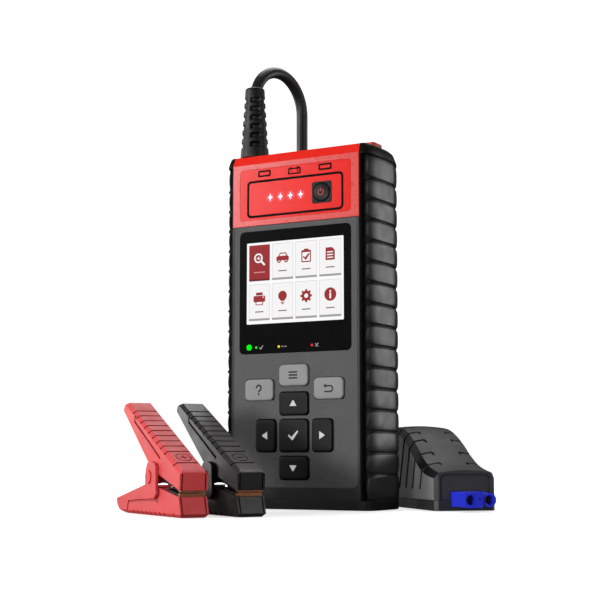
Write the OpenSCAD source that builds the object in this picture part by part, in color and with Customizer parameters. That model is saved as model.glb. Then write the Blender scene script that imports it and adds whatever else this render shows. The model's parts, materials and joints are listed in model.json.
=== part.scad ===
// Hand-held battery tester with a jump-start lead set: a handset with a fixed
// diagnostic lead, two spring clamps and a plug-in control module.
// Units are millimetres. The handset stands on z = 0 and its screen faces -Y.

/* [Handset] */
// Width over both side grips
grip_w = 99; // [97:0.5:101]
// Width of the hard case between the grips
case_w = 86.8; // [86:0.2:87.6]
// Depth from front face to back face
case_d = 45; // [44:0.5:46]
// Height of the case top above the floor
case_h = 210; // [209:0.5:211]
// Height of the soft foot
foot_h = 5.5; // [4.5:0.5:6]
// Wall thickness of the shells
wall = 2.2; // [2:0.1:2.4]
// Thickness of the front face
face_t = 2.4; // [2.2:0.1:2.6]
// Height of the seam between grey shell and red cover
seam_z = 166.9; // [166:0.1:168]

/* [Grips] */
// Number of grooves in each grip
groove_n = 15; // [9:1:15]
// Groove spacing
groove_pitch = 12.12; // [10:0.02:12.2]
// Height of the lowest groove
groove_z0 = 20; // [18:0.5:22]
// Groove width
groove_w = 2.2; // [1.6:0.1:3]

/* [Screen] */
// Cover glass width
glass_w = 74.4; // [73:0.2:75]
// Cover glass height
glass_h = 73.1; // [72:0.1:74]
// Height of the glass centre above the floor
glass_z = 126.95; // [126:0.05:128]
// Corner radius of the glass
glass_r = 3; // [2:0.5:4]

/* [Keys] */
// Height of the keys above the face
key_rise = 1.4; // [1:0.1:2]
// Gap around each key
key_gap = 0.35; // [0.3:0.05:0.5]
// Power button radius
power_r = 5.4; // [5:0.1:5.5]

/* [Diagnostic lead] */
// Lead diameter
lead_d = 7; // [6:0.5:8]
// Radius of the coil at the middle of its turns
coil_r = 39; // [37:0.5:40]

/* [Clamps] */
// Width of the clamp jaws
clamp_w = 15.4; // [14:0.2:16]
// Turn of both clamps about the vertical
clamp_turn = -33; // [-40:1:-25]

/* [Module] */
// Half width of the module at its front end
module_hw = 18.3; // [17:0.1:19]
// Length of the module body
module_l = 88; // [84:1:92]
// Turn of the module about the vertical
module_turn = -45.7; // [-50:0.1:-40]
// Distance between the two plug bores
plug_pitch = 11.4; // [11:0.2:12]

/* [Hidden] */

// case planes
F = -case_d / 2;            // front face
B = case_d / 2;             // back face
yp = -13;                   // parting plane of the two halves
hc = case_w / 2;            // half width of the hard case
gx = grip_w / 2;            // half width over the grips
// screw posts: x, and the heights of the three pairs
post_x = 38.4;
post_z = [15, 86, 178];
// keys: centre x, centre z, width, height, corner radius
HELP = [-23, 69, 19.2, 12.5, 2.2];
MENU = [0, 77.1, 19.2, 12.5, 2.2];
BACK = [23, 69, 19.2, 12.5, 2.2];
UP = [0, 60.7, 19.2, 13.4, 2];
DOWN = [0, 23.7, 19.2, 13.4, 2];
LEFT = [-18.7, 42.3, 13.4, 18.8, 2];
RIGHT = [18.7, 42.3, 13.4, 18.8, 2];
OK = [0, 42.3, 19.2, 18.8, 2];
KEYS = [HELP, MENU, BACK, UP, DOWN, LEFT, RIGHT, OK];
// power button centre and lamp positions on the red cover
pbx = 18.3;
pbz = 183.2;
lamp_x = [-16.4, -9.5, -2.7, 4.2];
// jump socket centre on the case top
sox = 27.5;
soy = 6.1;
// hinge axis of the port cover
hy = 14.6;
hz = case_h + 3;
// lead route: boot axis, rear leg, loop height, floor height, coil centre
bx = -33;
by = -13;
lx = -25;
ly = 32;
loop_z = 246;
floor_z = 4;
cx = -36;
cy = 100;
lead_r = lead_d / 2;
// clamp frames: jaw tip centre on the floor
red_at = [11, -141, 0];
black_at = [30.8, -118.9, 0];
// clamp pivot in its own frame
px = -38.6;
pz = 19.8;
cw = clamp_w / 2;
// module frame: middle of the front end on the floor
module_at = [92.3, 9.7, 0];
plug_y = 0.7;
plug_z = 6.5;

function arc(x, y, r, a0, a1, n) =
  [for (i = [0:n]) [x + r * cos(a0 + (a1 - a0) * i / n), y + r * sin(a0 + (a1 - a0) * i / n)]];
function rr(x, y, w, h, r, n = 5) = concat(
  arc(x + w / 2 - r, y + h / 2 - r, r, 0, 90, n), arc(x - w / 2 + r, y + h / 2 - r, r, 90, 180, n),
  arc(x - w / 2 + r, y - h / 2 + r, r, 180, 270, n), arc(x + w / 2 - r, y - h / 2 + r, r, 270, 360, n));
function unit(v) = v / norm(v);
function flip(p) = [for (i = [len(p) - 1:-1:0]) [-p[i][0], p[i][1]]];

// drawings in (x, z), (y, z) and (x, y), raised along the third axis
module along_y(y0, y1) { translate([0, y1, 0]) rotate([90, 0, 0]) linear_extrude(height = y1 - y0) children(); }
module along_x(x0, x1) { translate([x0, 0, 0]) rotate([90, 0, 90]) linear_extrude(height = x1 - x0) children(); }
module along_z(z0, z1) { translate([0, 0, z0]) linear_extrude(height = z1 - z0) children(); }
module rod_y(x, z, y0, y1, r) { translate([x, y1, z]) rotate([90, 0, 0]) cylinder(h = y1 - y0, r = r, $fn = 48); }
module rod_x(y, z, x0, x1, r) { translate([x0, y, z]) rotate([0, 90, 0]) cylinder(h = x1 - x0, r = r, $fn = 48); }
module plate_y(y0, y1, k, grow = 0) { along_y(y0, y1) polygon(rr(k[0], k[1], k[2] + 2 * grow, k[3] + 2 * grow, k[4] + grow)); }

// ---- case ----
face_plan = [[-42.2, F], [42.2, F], [hc, F + 1.3], [hc, yp], [-hc, yp], [-hc, F + 1.3]];

// outline of the front inlay: round lower corners, straight top
function panel(g, top) = concat(arc(-37.1, 16.5, 3.9 + g, 180, 270, 6), arc(37.1, 16.5, 3.9 + g, 270, 360, 6),
  [[41 + g, top], [-41 - g, top]]);

module front_shell() color("#58595c") difference() {
  union() {
    difference() {
      along_z(foot_h, seam_z - 0.1) polygon(face_plan);
      translate([-hc + wall, F + face_t, foot_h + wall]) cube([2 * (hc - wall), 30, 200]);
    }
    for (s = [-1, 1], i = [0, 1]) rod_y(s * post_x, post_z[i], F + face_t - 0.5, 7, 2.3);
  }
  // bevel between face and foot
  along_x(-60, 60) polygon([[F - 1, 12.4], [F, 12.4], [F + 1.1, foot_h], [F + 1.1, foot_h - 1], [F - 1, foot_h - 1]]);
  // glass seat and window
  along_y(F - 1, F + 1.6) polygon(rr(0, glass_z, glass_w + 0.3, glass_h + 0.3, glass_r + 0.15));
  along_y(F - 1, F + face_t + 1) polygon(rr(0, glass_z, glass_w - 4.4, glass_h - 4.5, 2));
  // fascia seat
  along_y(F - 1, F + 0.6) polygon(panel(0.1, seam_z + 5));
  for (k = KEYS) plate_y(F, F + 3, k, key_gap);
  for (s = [-1, 1], i = [0, 1]) rod_y(s * post_x, post_z[i], F + 6, 8, 1.25);
}

module keypad_fascia() color("#5e5f62") difference() {
  along_y(F, F + 0.58) polygon(panel(0, seam_z - 0.2));
  along_y(F - 1, F + 1.6) polygon(rr(0, glass_z, glass_w + 0.3, glass_h + 0.3, glass_r + 0.15));
  for (k = KEYS) plate_y(F - 1, F + 3, k, key_gap);
}

module red_cover() color("#e5261f") difference() {
  union() {
    difference() {
      intersection() {
        along_z(seam_z + 0.1, case_h) polygon(face_plan);
        along_x(-60, 60) polygon([[F, 150], [F, 204.4], [F + 2.5, case_h], [yp, case_h], [yp, 150]]);
      }
      translate([-hc + wall, F + face_t, 150]) cube([2 * (hc - wall), 30, case_h - 2.6 - 150]);
    }
    for (s = [-1, 1]) rod_y(s * post_x, post_z[2], F + face_t - 0.5, 7, 2.3);
  }
  along_y(F - 1, F + 0.7) polygon(rr(0, 185.85, 74.8, 30.7, 2.2));
  along_y(F - 1, F + 5) polygon(rr(pbx, pbz, 12.9, 12.8, 1.3));
  for (x = lamp_x) rod_y(x, pbz, F - 1, F + 5, 1.65);
  translate([bx, by, 200]) cylinder(h = 20, r = 5.2, $fn = 48);
  for (s = [-1, 1]) rod_y(s * post_x, post_z[2], F + 6, 8, 1.25);
}

module label_plate() color("#e8231c") difference() {
  along_y(F + 0.08, F + 0.68) polygon(rr(0, 185.85, 74.6, 30.5, 2.1));
  along_y(F - 1, F + 5) polygon(rr(pbx, pbz, 12.9, 12.8, 1.3));
  for (x = lamp_x) rod_y(x, pbz, F - 1, F + 5, 1.65);
}

module rear_shell() color("#2c2d2f") difference() {
  union() {
    difference() {
      intersection() {
        along_z(foot_h, case_h) polygon([[-hc, yp], [hc, yp], [hc, B], [-hc, B]]);
        along_x(-60, 60) polygon([[yp, 0], [yp, case_h], [B - 3, case_h], [B, case_h - 3], [B, 0]]);
      }
      translate([-hc + wall, yp - 1, foot_h + wall]) cube([2 * (hc - wall), B - wall - yp + 1, case_h - 2 * wall - foot_h]);
    }
    for (s = [-1, 1], z = post_z) rod_y(s * post_x, z, 7.3, B - wall + 0.5, 4);
    // hinge ears
    for (x = [16, 36]) {
      rod_x(hy, hz, x, x + 3, 1.8);
      translate([x, hy - 1.8, case_h - 1]) cube([3, 3.6, hz - case_h + 1]);
    }
  }
  for (s = [-1, 1], z = post_z) {
    rod_y(s * post_x, z, 7, B + 1, 1.6);
    rod_y(s * post_x, z, 12, B + 1, 3.1);
  }
  translate([bx, by, 200]) cylinder(h = 20, r = 5.2, $fn = 48);
  // socket opening
  translate([sox - 12.6, soy - 6, case_h - 5]) cube([25.2, 12, 6]);
  rod_x(hy, hz, 10, 45, 0.92);
  // shallow back panel and grip lines
  along_y(B - 0.5, B + 1) polygon(rr(0, 130, 62, 90, 5));
  for (i = [0:6]) along_y(B - 0.7, B + 1) polygon(rr(0, 30 + 7 * i, 50, 2, 0.9));
}

grip = [[hc, -18], [45.6, -18], [46.4, -20.2], [47.3, -20.4], [48.4, -18], [gx - 0.3, -13.5], [gx, -6.5],
  [gx, 5.5], [gx - 0.9, 12.5], [46.8, 19], [44.6, B], [hc, B]];
grip_in = [[hc, -18], [45.6, -18], [46.3, -19.2], [46.9, -19.3], [47.6, -17.4], [gx - 1.3, -13.2], [gx - 1, -6.4],
  [gx - 1, 5.4], [gx - 1.8, 12.2], [46, 18.6], [44.1, 21.5], [hc, 21.5]];
cap = [[hc, F + 0.9], [46.2, F + 0.9], [47.8, F + 2.4], [48.8, F + 5.5], [gx - 0.2, F + 10], [gx, F + 16],
  [gx, 5.5], [gx - 0.9, 12.5], [46.8, 19], [44.6, B], [hc, B]];
cap_side = [[hc, 0], [gx, 0], [gx, 205.2], [gx - 0.5, 207.2], [gx - 1.3, 208.9], [gx - 2.6, case_h], [hc, case_h]];
cap_front = [[F + 0.9, 0], [F + 0.9, 204.6], [F + 3.2, case_h], [B - 15, case_h], [B - 8, case_h - 1.8], [B - 2.5, case_h - 5.5], [B, case_h - 9], [B, 0]];

module side_grip() intersection() {
  union() {
    along_z(foot_h, 205.2) polygon(grip_in);
    for (i = [0:groove_n])
      along_z(i == 0 ? foot_h : groove_z0 + groove_pitch * (i - 1) + groove_w / 2,
        i == groove_n ? 205.2 : groove_z0 + groove_pitch * i - groove_w / 2) polygon(grip);
    along_z(205, 213) polygon(cap);
  }
  along_y(-60, 60) polygon(cap_side);
  along_x(0, 60) polygon(cap_front);
}
module right_bumper() color("#2f3032") side_grip();
module left_bumper() color("#2f3032") mirror([1, 0, 0]) side_grip();

foot_half = [[44.6, F + 0.8], [47.6, F + 2.8], [gx - 0.4, F + 8], [gx, F + 15], [gx, F + 30],
  [gx - 1.1, F + 37], [46.2, F + 42.5], [43.8, B]];
module base_foot() color("#1d1d1f") along_z(0, foot_h) polygon(concat(foot_half, flip(foot_half)));

// ---- screen and lamps ----
module screen_lens() color("#101113") difference() {
  along_y(F + 0.12, F + 1.55) polygon(rr(0, glass_z, glass_w, glass_h, glass_r));
  rod_y(-30.7, 94.3, F - 1, F + 3, 1.75);
}
module lcd_panel() color("#d8dce0") along_y(F + 1.7, F + 7.5) polygon(rr(0, 132.5, 68.4, 56, 0.6));
module status_led() color("#20c040") rod_y(-30.7, 94.3, F + 0.05, F + 1.55, 1.7);
module indicator_leds() color("#f4f4ff") for (x = lamp_x) rod_y(x, pbz, F, F + 5, 1.55);

// ---- buttons ----
module power_bezel() color("#26272a") difference() {
  along_y(F - 0.3, F + 2.6) polygon(rr(pbx, pbz, 12.7, 12.6, 1.2));
  rod_y(pbx, pbz, F - 1, F + 3, power_r + 0.35);
}
module power_button() color("#1c1d1f") {
  rod_y(pbx, pbz, F - 0.7, F + 3.1, power_r);
  rod_y(pbx, pbz, F + 3, F + 3.8, power_r + 0.9);
}
module key(k) {
  plate_y(F - key_rise, F + 2.8, k);
  plate_y(F + 2.7, F + 3.5, k, 0.8);
}
module help_key() color("#9a9b9d") key(HELP);
module menu_key() color("#9a9b9d") key(MENU);
module back_key() color("#9a9b9d") key(BACK);
module up_key() color("#202123") key(UP);
module down_key() color("#202123") key(DOWN);
module left_key() color("#202123") key(LEFT);
module right_key() color("#202123") key(RIGHT);
module ok_key() color("#202123") key(OK);

// ---- inside the handset ----
module keypad_mat() color("#8d9196") {
  along_y(F + 4.9, F + 6.1) polygon(rr(0, 50, 68, 74, 3));
  for (k = KEYS) rod_y(k[0], k[1], F + 6, F + 7.6, 3.5);
}
module main_board() color("#1f6b3a") along_y(F + 7.8, F + 9.4) polygon(rr(0, 108, 71.4, 188, 2));
module battery_cells() color("#4a6fa5") for (i = [0:3]) along_y(-8.8 + 6.4 * i, -2.6 + 6.4 * i) polygon(rr(0, 81, 64, 118, 2));
module cell_holder() color("#3a3b3d") {
  along_y(-11.3, -9.1) polygon(rr(0, 81, 67.2, 126, 1));
  along_y(-9.3, 17) polygon(rr(0, 19.8, 67.2, 3.6, 0.8));
  along_y(-9.3, 17) polygon(rr(0, 142.2, 67.2, 3.6, 0.8));
}
module bus_bars() color("#b87333") for (s = [-1, 1]) translate([sox + s * plug_pitch / 2 - 2.1, 5.3, 144.2]) cube([4.2, 1.6, 42.8]);
module jump_socket() color("#23252a") difference() {
  translate([sox - 12.5, soy - 5.9, case_h - 23.8]) cube([25, 11.8, 23.8]);
  translate([sox - 10.3, soy - 4.8, case_h - 19.5]) cube([20.6, 9.6, 30]);
  for (s = [-1, 1]) translate([sox + s * plug_pitch / 2, soy, 180]) cylinder(h = 20, r = 2.35, $fn = 48);
}
module socket_contacts() color("#c9a227") for (s = [-1, 1]) translate([sox + s * plug_pitch / 2, soy, 187.1]) cylinder(h = 18.5, r = 2.33, $fn = 48);
module case_screws() color("#8a8c90") for (s = [-1, 1], z = post_z) {
  rod_y(s * post_x, z, -4, 12.2, 1.2);
  rod_y(s * post_x, z, 12.05, 14.3, 2.8);
}

// ---- port cover ----
module port_cover() color("#d8231d") difference() {
  union() {
    along_z(case_h + 0.3, case_h + 5.2) polygon(rr(sox, soy, 27.6, 12.2, 2));
    translate([sox - 3.5, soy - 8, case_h + 2]) cube([7, 3, 1.8]);
    rod_x(hy, hz, 19.5, 35.5, 1.8);
    translate([19.5, soy + 5, hz - 1.4]) cube([16, hy - soy - 5, 2.8]);
  }
  rod_x(hy, hz, 10, 45, 0.96);
}
module port_cover_pin() color("#8a8c90") rod_x(hy, hz, 16, 39, 0.9);

// ---- diagnostic lead ----
module lead_boot() color("#242527") translate([bx, by, 0]) difference() {
  union() {
    translate([0, 0, case_h - 6.6]) cylinder(h = 3.8, r = 6.8, $fn = 48);
    translate([0, 0, case_h - 3]) cylinder(h = 3.4, r = 5, $fn = 48);
    translate([0, 0, case_h + 0.2]) cylinder(h = 43.6, r1 = 8.7, r2 = 5.8, $fn = 48);
  }
  translate([0, 0, case_h - 10]) cylinder(h = 70, r = lead_r, $fn = 48);
  // four short slots at each of six levels
  rotate([0, 0, 35]) for (i = [0:5], s = [-1, 1]) {
    translate([s * 10, 0, case_h + 8 + 5.6 * i]) cube([10.6, 7.4, 2], center = true);
    translate([0, s * 10, case_h + 8 + 5.6 * i]) cube([7.4, 10.6, 2], center = true);
  }
}

// round tube along a list of points; side[i] is a fixed vector across the path at point i
module tube(p, side, r, n) {
  m = len(p);
  function tan_at(i) = unit(p[min(i + 1, m - 1)] - p[max(i - 1, 0)]);
  v = [for (i = [0:m - 1]) let (t = tan_at(i), s = unit(side[i] - t * (side[i] * t)), u = cross(t, s))
    for (k = [0:n - 1]) p[i] + r * (cos(360 * k / n) * s + sin(360 * k / n) * u)];
  f = concat(
    [[for (k = [0:n - 1]) k]],
    [for (i = [0:m - 2], k = [0:n - 1]) [i * n + k, (i + 1) * n + k, (i + 1) * n + (k + 1) % n, i * n + (k + 1) % n]],
    [[for (k = [n - 1:-1:0]) (m - 1) * n + k]]);
  polyhedron(points = v, faces = f, convexity = 6);
}

// loop over the top, straight leg behind the case, bend onto the floor, run to the coil
loop_r = norm([lx - bx, ly - by]) / 2;
loop_e = unit([lx - bx, ly - by]);
run_a = 61;
run_e = [cos(run_a), sin(run_a)];
bend_r = 28;
lead_a = concat([[bx, by, 205], [bx, by, 218], [bx, by, 232]],
  [for (i = [0:12]) let (a = 180 - 15 * i) [(bx + lx) / 2 + loop_e[0] * loop_r * cos(a), (by + ly) / 2 + loop_e[1] * loop_r * cos(a), loop_z + loop_r * sin(a)]],
  [for (z = [228:-20:68]) [lx, ly, z]]);
lead_b = concat([[lx, ly, 50]],
  [for (i = [0:6]) let (a = 15 * i) [lx + run_e[0] * bend_r * (1 - cos(a)), ly + run_e[1] * bend_r * (1 - cos(a)), floor_z + bend_r - bend_r * sin(a)]],
  [for (d = [36, 45, 54]) [lx + run_e[0] * d, ly + run_e[1] * d, floor_z]]);
module obd_lead() color("#232426") tube(concat(lead_a, lead_b),
  concat([for (q = lead_a) [loop_e[1], -loop_e[0], 0]], [for (q = lead_b) [run_e[1], -run_e[0], 0]]), lead_r, 10);

module obd_coil() color("#232426") translate([cx, cy, 0.8]) rotate_extrude($fn = 72)
  polygon([[coil_r - 7, 2], [coil_r - 6, 0.7], [coil_r - 4, 0], [coil_r + 4, 0], [coil_r + 6, 0.7], [coil_r + 7, 2],
    [coil_r + 7, 5], [coil_r + 5, 9], [coil_r + 2.5, 12.3], [coil_r, 13.1], [coil_r - 2.5, 12.3], [coil_r - 5, 9], [coil_r - 7, 5]]);

tail = [[-36, 139, 10.4], [-43, 139, 10.5], [-50, 139, 11], [-57, 139, 11.7], [-64, 139, 12.3], [-71, 139, 12.5], [-78, 139, 12.5]];
module obd_tail() color("#232426") tube(tail, [for (q = tail) [0, 1, 0]], lead_r, 10);

module lead_tie() color("#111214") translate([cx, cy, 0]) rotate([0, 0, 200]) translate([coil_r, 0, 0]) difference() {
  along_y(-3, 3) polygon(rr(0, 7.5, 16.6, 15, 1.5));
  along_y(-4, 4) polygon(rr(0, 7.42, 14.5, 13.3, 0.7));
}

// middle of the vehicle plug
ply = 139;
module obd_plug() color("#1f2022") difference() {
  union() {
    translate([-66, ply, 12.5]) rotate([0, -90, 0]) cylinder(h = 18.5, r1 = 4.6, r2 = 8.4, $fn = 48);
    along_x(-108, -84) polygon(rr(ply, 12.5, 48, 25, 5));
    along_x(-124, -107.5) polygon([[ply - 19.5, 4.6], [ply + 19.5, 4.6], [ply + 17.5, 20.4], [ply - 17.5, 20.4]]);
  }
  along_x(-125, -110) polygon([[ply - 17.6, 6.2], [ply + 17.6, 6.2], [ply + 15.9, 18.8], [ply - 15.9, 18.8]]);
  rod_x(ply, 12.5, -80, -60, lead_r);
  for (i = [0:3], s = [-1, 1]) translate([-104 + 5 * i, ply + s * 24.4, 12.5]) cube([2, 1.6, 15], center = true);
}
module obd_plug_pins() color("#c9a227") for (i = [0:7], z = [8.6, 16.4])
  translate([-121, ply - 14.7 + 4.2 * i - 0.6, z - 0.8]) cube([11, 1.2, 1.6]);

// ---- clamps, drawn jaw tip at the origin, handles towards -X ----
lever_a = 25.75;
base_side = [[-91.3, 7.7], [-90.2, 4.6], [-87.4, 2.2], [-82.5, 0.6], [-77, 0], [-3, 0], [-0.8, 1.8], [-3.4, 10.2],
  [-31, 14.6], [-33, 13.2], [-49, 13.2], [-50.5, 15.4]];
lever_side = [[-82, 55.2], [-80.6, 57.7], [-77.1, 59.4], [-3.5, 23.9], [-1.9, 22.2], [-2.4, 13.4], [-31.3, 21.4],
  [-33.6, 23.4], [-45.2, 27.7]];
cheek = [[-45.8, 12], [-43.8, 16.5], [-42.8, 24], [-41, 27], [-36, 27.8], [-31.4, 26.7], [-29.8, 25.2], [-28.8, 11.4],
  [-31.6, 8.8], [-39, 8.8], [-42.4, 9.8]];
// grooves across the lever's top, and nicks along the base's lower edges
lever_lines = concat([for (i = [0:8]) -67.2 + 5.65 * i], [-10.1]);
base_nicks = concat([for (i = [0:7]) -65.2 + 6.15 * i], [-9.6]);

module clamp_base() difference() {
  union() {
    intersection() {
      along_y(-cw, cw) polygon(base_side);
      along_x(-95, 5) polygon([[-cw + 1.3, 0], [cw - 1.3, 0], [cw, 1.6], [cw, 40], [-cw, 40], [-cw, 1.6]]);
    }
    for (s = [-1, 1]) {
      along_y(s > 0 ? cw + 0.35 : -cw - 2, s > 0 ? cw + 2 : -cw - 0.35) polygon(cheek);
      along_y(s > 0 ? cw - 0.6 : -cw - 0.4, s > 0 ? cw + 0.4 : -cw + 0.6) polygon([[-43, 12.4], [-30.4, 12.4], [-31.6, 9.4], [-40, 9.4]]);
      // closed pivot boss
      rod_y(px, pz, s > 0 ? cw + 1.9 : -cw - 2.7, s > 0 ? cw + 2.7 : -cw - 1.9, 3.5);
    }
  }
  rod_y(px, pz, -cw - 1.9, cw + 1.9, 2);
  // bent line on each side
  for (s = [-1, 1]) along_y(s > 0 ? cw - 0.8 : -cw - 1, s > 0 ? cw + 1 : -cw + 0.8)
    polygon([[-75, 1.6], [-73.6, 6.8], [-56.7, 7.8], [-33.5, 8.6], [-29.8, 7.6], [-30, 6.4], [-33.7, 7.3], [-56.7, 6.5], [-72.5, 5.6], [-73.7, 1.6]]);
  for (x = base_nicks, s = [-1, 1]) translate([x, s * cw, 0.4]) cube([1.2, 3.2, 3.2], center = true);
  // line beside each front edge
  for (s = [-1, 1]) translate([-0.8, s * (cw - 1.3), 1.8]) rotate([0, -17.2, 0]) translate([0, 0, 4.2]) cube([1.2, 0.7, 9.6], center = true);
}
module clamp_lever(plus) difference() {
  intersection() {
    union() {
      along_y(-cw, cw) polygon(lever_side);
      rod_y(px, pz, -cw, cw, 3.6);
      along_y(-cw, cw) polygon([[px - 3.6, pz], [px + 3.6, pz], [px + 7, 28], [px - 2.5, 29]]);
    }
    // chamfered top edges
    translate([-3.5, 0, 23.9]) rotate([0, lever_a, 0]) along_x(-140, 60)
      polygon([[-cw, -1.8], [-cw + 1.8, 0], [cw - 1.8, 0], [cw, -1.8], [cw, -90], [-cw, -90]]);
  }
  rod_y(px, pz, -20, 20, 2.06);
  // spring pocket
  rod_y(px, pz, -3.2, 3.2, 4.2);
  translate([-3.5, 0, 23.9]) rotate([0, lever_a, 0]) {
    for (x = lever_lines) translate([(x + 3.5) / cos(lever_a), 0, 0]) {
      cube([1.1, 40, 1.5], center = true);
      for (s = [-1, 1]) translate([0, s * cw, 0]) cube([1.1, 2.6, 4], center = true);
    }
    // polarity mark in a ring
    translate([-13.6, 0, 0]) {
      difference() {
        cylinder(h = 1, r = 4.3, center = true, $fn = 40);
        cylinder(h = 2, r = 3.6, center = true, $fn = 40);
      }
      cube([0.8, 4.2, 1], center = true);
      if (plus) cube([4.2, 0.8, 1], center = true);
    }
  }
  // bent line on each side
  for (s = [-1, 1]) along_y(s > 0 ? cw - 0.8 : -cw - 1, s > 0 ? cw + 1 : -cw + 0.8)
    polygon([[-62.2, 54.6], [-65.2, 51.9], [-65.6, 48.3], [-45.9, 38], [-28.6, 28.6], [-27.9, 29.9], [-45.3, 39.4], [-64.2, 49.2], [-63.8, 51.1], [-61, 53.5]]);
  // line beside each front edge
  for (s = [-1, 1]) translate([-2.15, s * (cw - 1.4), 17.2]) rotate([0, 3.25, 0]) cube([1.2, 0.7, 8.8], center = true);
}
function tooth_line(x0, x1, n, f0, k, h, hk, t) = [for (i = [0:n - 1]) let (a = x0 + (x1 - x0) * i / n, b = x0 + (x1 - x0) * (i + 0.5) / n)
  each [[a, f0 + k * a + t], [b, f0 + k * b + t + h + hk * b]]];
// jaw faces: height of the seat line at x = 0 and its slope
low0 = 9.658;
lowk = -0.15942;
upk = -0.27682;
up0 = 12.7356;
module clamp_lower_jaw() along_y(-cw + 1, cw - 1) polygon(concat(
  [[-3.9, low0 + lowk * -3.9], [-20, low0 + lowk * -20]],
  tooth_line(-20, -6, 5, low0, lowk, 0.7, 0, 0.8), [[-6, low0 + lowk * -6 + 0.8], [-5.6, low0 + lowk * -5.6 + 1.6], [-3.9, low0 + lowk * -3.9 + 1.6]]));
module clamp_upper_jaw() along_y(-cw + 1, cw - 1) polygon(concat(
  [[-3.2, up0 + upk * -3.2], [-27, up0 + upk * -27]],
  tooth_line(-27, -6, 7, up0, upk, -0.5, 0.05, -0.8), [[-6, up0 + upk * -6 - 0.8], [-5.6, up0 + upk * -5.6 - 1.4], [-3.2, up0 + upk * -3.2 - 1.4]]));
module clamp_pin() rod_y(px, pz, -cw - 1.85, cw + 1.85, 2);
module clamp_spring() translate([px, 0, pz]) rotate([90, 0, 0]) translate([0, 0, -2.6]) rotate_extrude($fn = 48)
  union() for (i = [0:5]) translate([2.75, 0.55 + 0.82 * i]) circle(r = 0.55, $fn = 24);
module at_red() { translate(red_at) rotate([0, 0, clamp_turn]) children(); }
module at_black() { translate(black_at) rotate([0, 0, clamp_turn]) children(); }

module red_clamp_base() color("#d8403f") at_red() clamp_base();
module red_clamp_lever() color("#d8403f") at_red() clamp_lever(true);
module red_clamp_lower_jaw() color("#a5623c") at_red() clamp_lower_jaw();
module red_clamp_upper_jaw() color("#a5623c") at_red() clamp_upper_jaw();
module red_clamp_pin() color("#7d7f83") at_red() clamp_pin();
module red_clamp_spring() color("#7d7f83") at_red() clamp_spring();
module black_clamp_base() color("#2a2b2d") at_black() clamp_base();
module black_clamp_lever() color("#2a2b2d") at_black() clamp_lever(false);
module black_clamp_lower_jaw() color("#a5623c") at_black() clamp_lower_jaw();
module black_clamp_upper_jaw() color("#a5623c") at_black() clamp_upper_jaw();
module black_clamp_pin() color("#7d7f83") at_black() clamp_pin();
module black_clamp_spring() color("#7d7f83") at_black() clamp_spring();

// ---- module, drawn with its front end at x = 0 and its body towards -X ----
module at_module() { translate(module_at) rotate([0, 0, module_turn]) children(); }
// top line: x, height, depth of the bevelled edge band below it
crest_points = [[0, 21.3, 3.4], [-7, 22.5, 3.8], [-14, 24.1, 4.4], [-20, 26.3, 5.2], [-26, 29.2, 5.8], [-32, 32.8, 6.2], [-38, 36.6, 6.2],
  [-44, 40, 5.6], [-50, 42.8, 4.9], [-56, 45.1, 4.3], [-63, 46.8, 3.7], [-72, 47.5, 3.5], [-88, 47.5, 3.5]];
function between(a, b, c, d, t) = 0.5 * (2 * b + (c - a) * t + (2 * a - 5 * b + 4 * c - d) * t * t + (3 * b - a - 3 * c + d) * t * t * t);
crest = let (k = crest_points, m = len(k) - 1) concat(
  [for (i = [0:m - 1], t = [0, 0.5]) between(k[max(0, i - 1)], k[i], k[i + 1], k[min(m, i + 2)], t)], [k[m]]);
function top_at(x) = lookup(x, [for (c = crest) [c[0], c[1]]]);
function edge_at(x) = top_at(x) - lookup(x, [for (c = crest) [c[0], c[2]]]);
mb = 5.9;                   // height of the base seam
band = 2.4;                 // width of the edge band
// hooked grooves: x on the top, x at the band's lower edge, x at the foot of the side slot
hooks = [[-63.2, -64.8, -74.5], [-52.3, -53.9, -63.1], [-42, -44.1, -51.2], [-29.8, -34.5, -39], [-18, -22.6, -25.5]];
function mhw(x) = module_hw + 0.023 * x;
// rise of the crowned top above its edges
crown = 1.4;
function crown_at(y) = crown * (1 - pow(y / (module_hw - band), 2));
function ring(x, z, d, o) = let (h = mhw(x) - o, t = z - o, w = h - band)
  concat([[x, h, mb], [x, -h, mb], [x, -h, t - d]], [for (k = [-4:4]) [x, w * k / 4, t + crown_at(w * k / 4)]], [[x, h, t - d]]);
module nick(x, y, z, d) translate([x, y, z]) cube(d, center = true);
module loft(r) {
  m = len(r);
  n = len(r[0]);
  polyhedron(points = [for (a = r) each a], faces = concat(
    [[for (k = [0:n - 1]) k]],
    [for (i = [0:m - 2], k = [0:n - 1]) each [[i * n + k, (i + 1) * n + k, (i + 1) * n + (k + 1) % n], [i * n + k, (i + 1) * n + (k + 1) % n, i * n + (k + 1) % n]]],
    [[for (k = [n - 1:-1:0]) (m - 1) * n + k]]), convexity = 6);
}
module_plan = [[-2, -module_hw], [0, -module_hw + 2], [0, module_hw - 2], [-2, module_hw],
  [-module_l, mhw(-module_l)], [-module_l, -mhw(-module_l)]];

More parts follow.
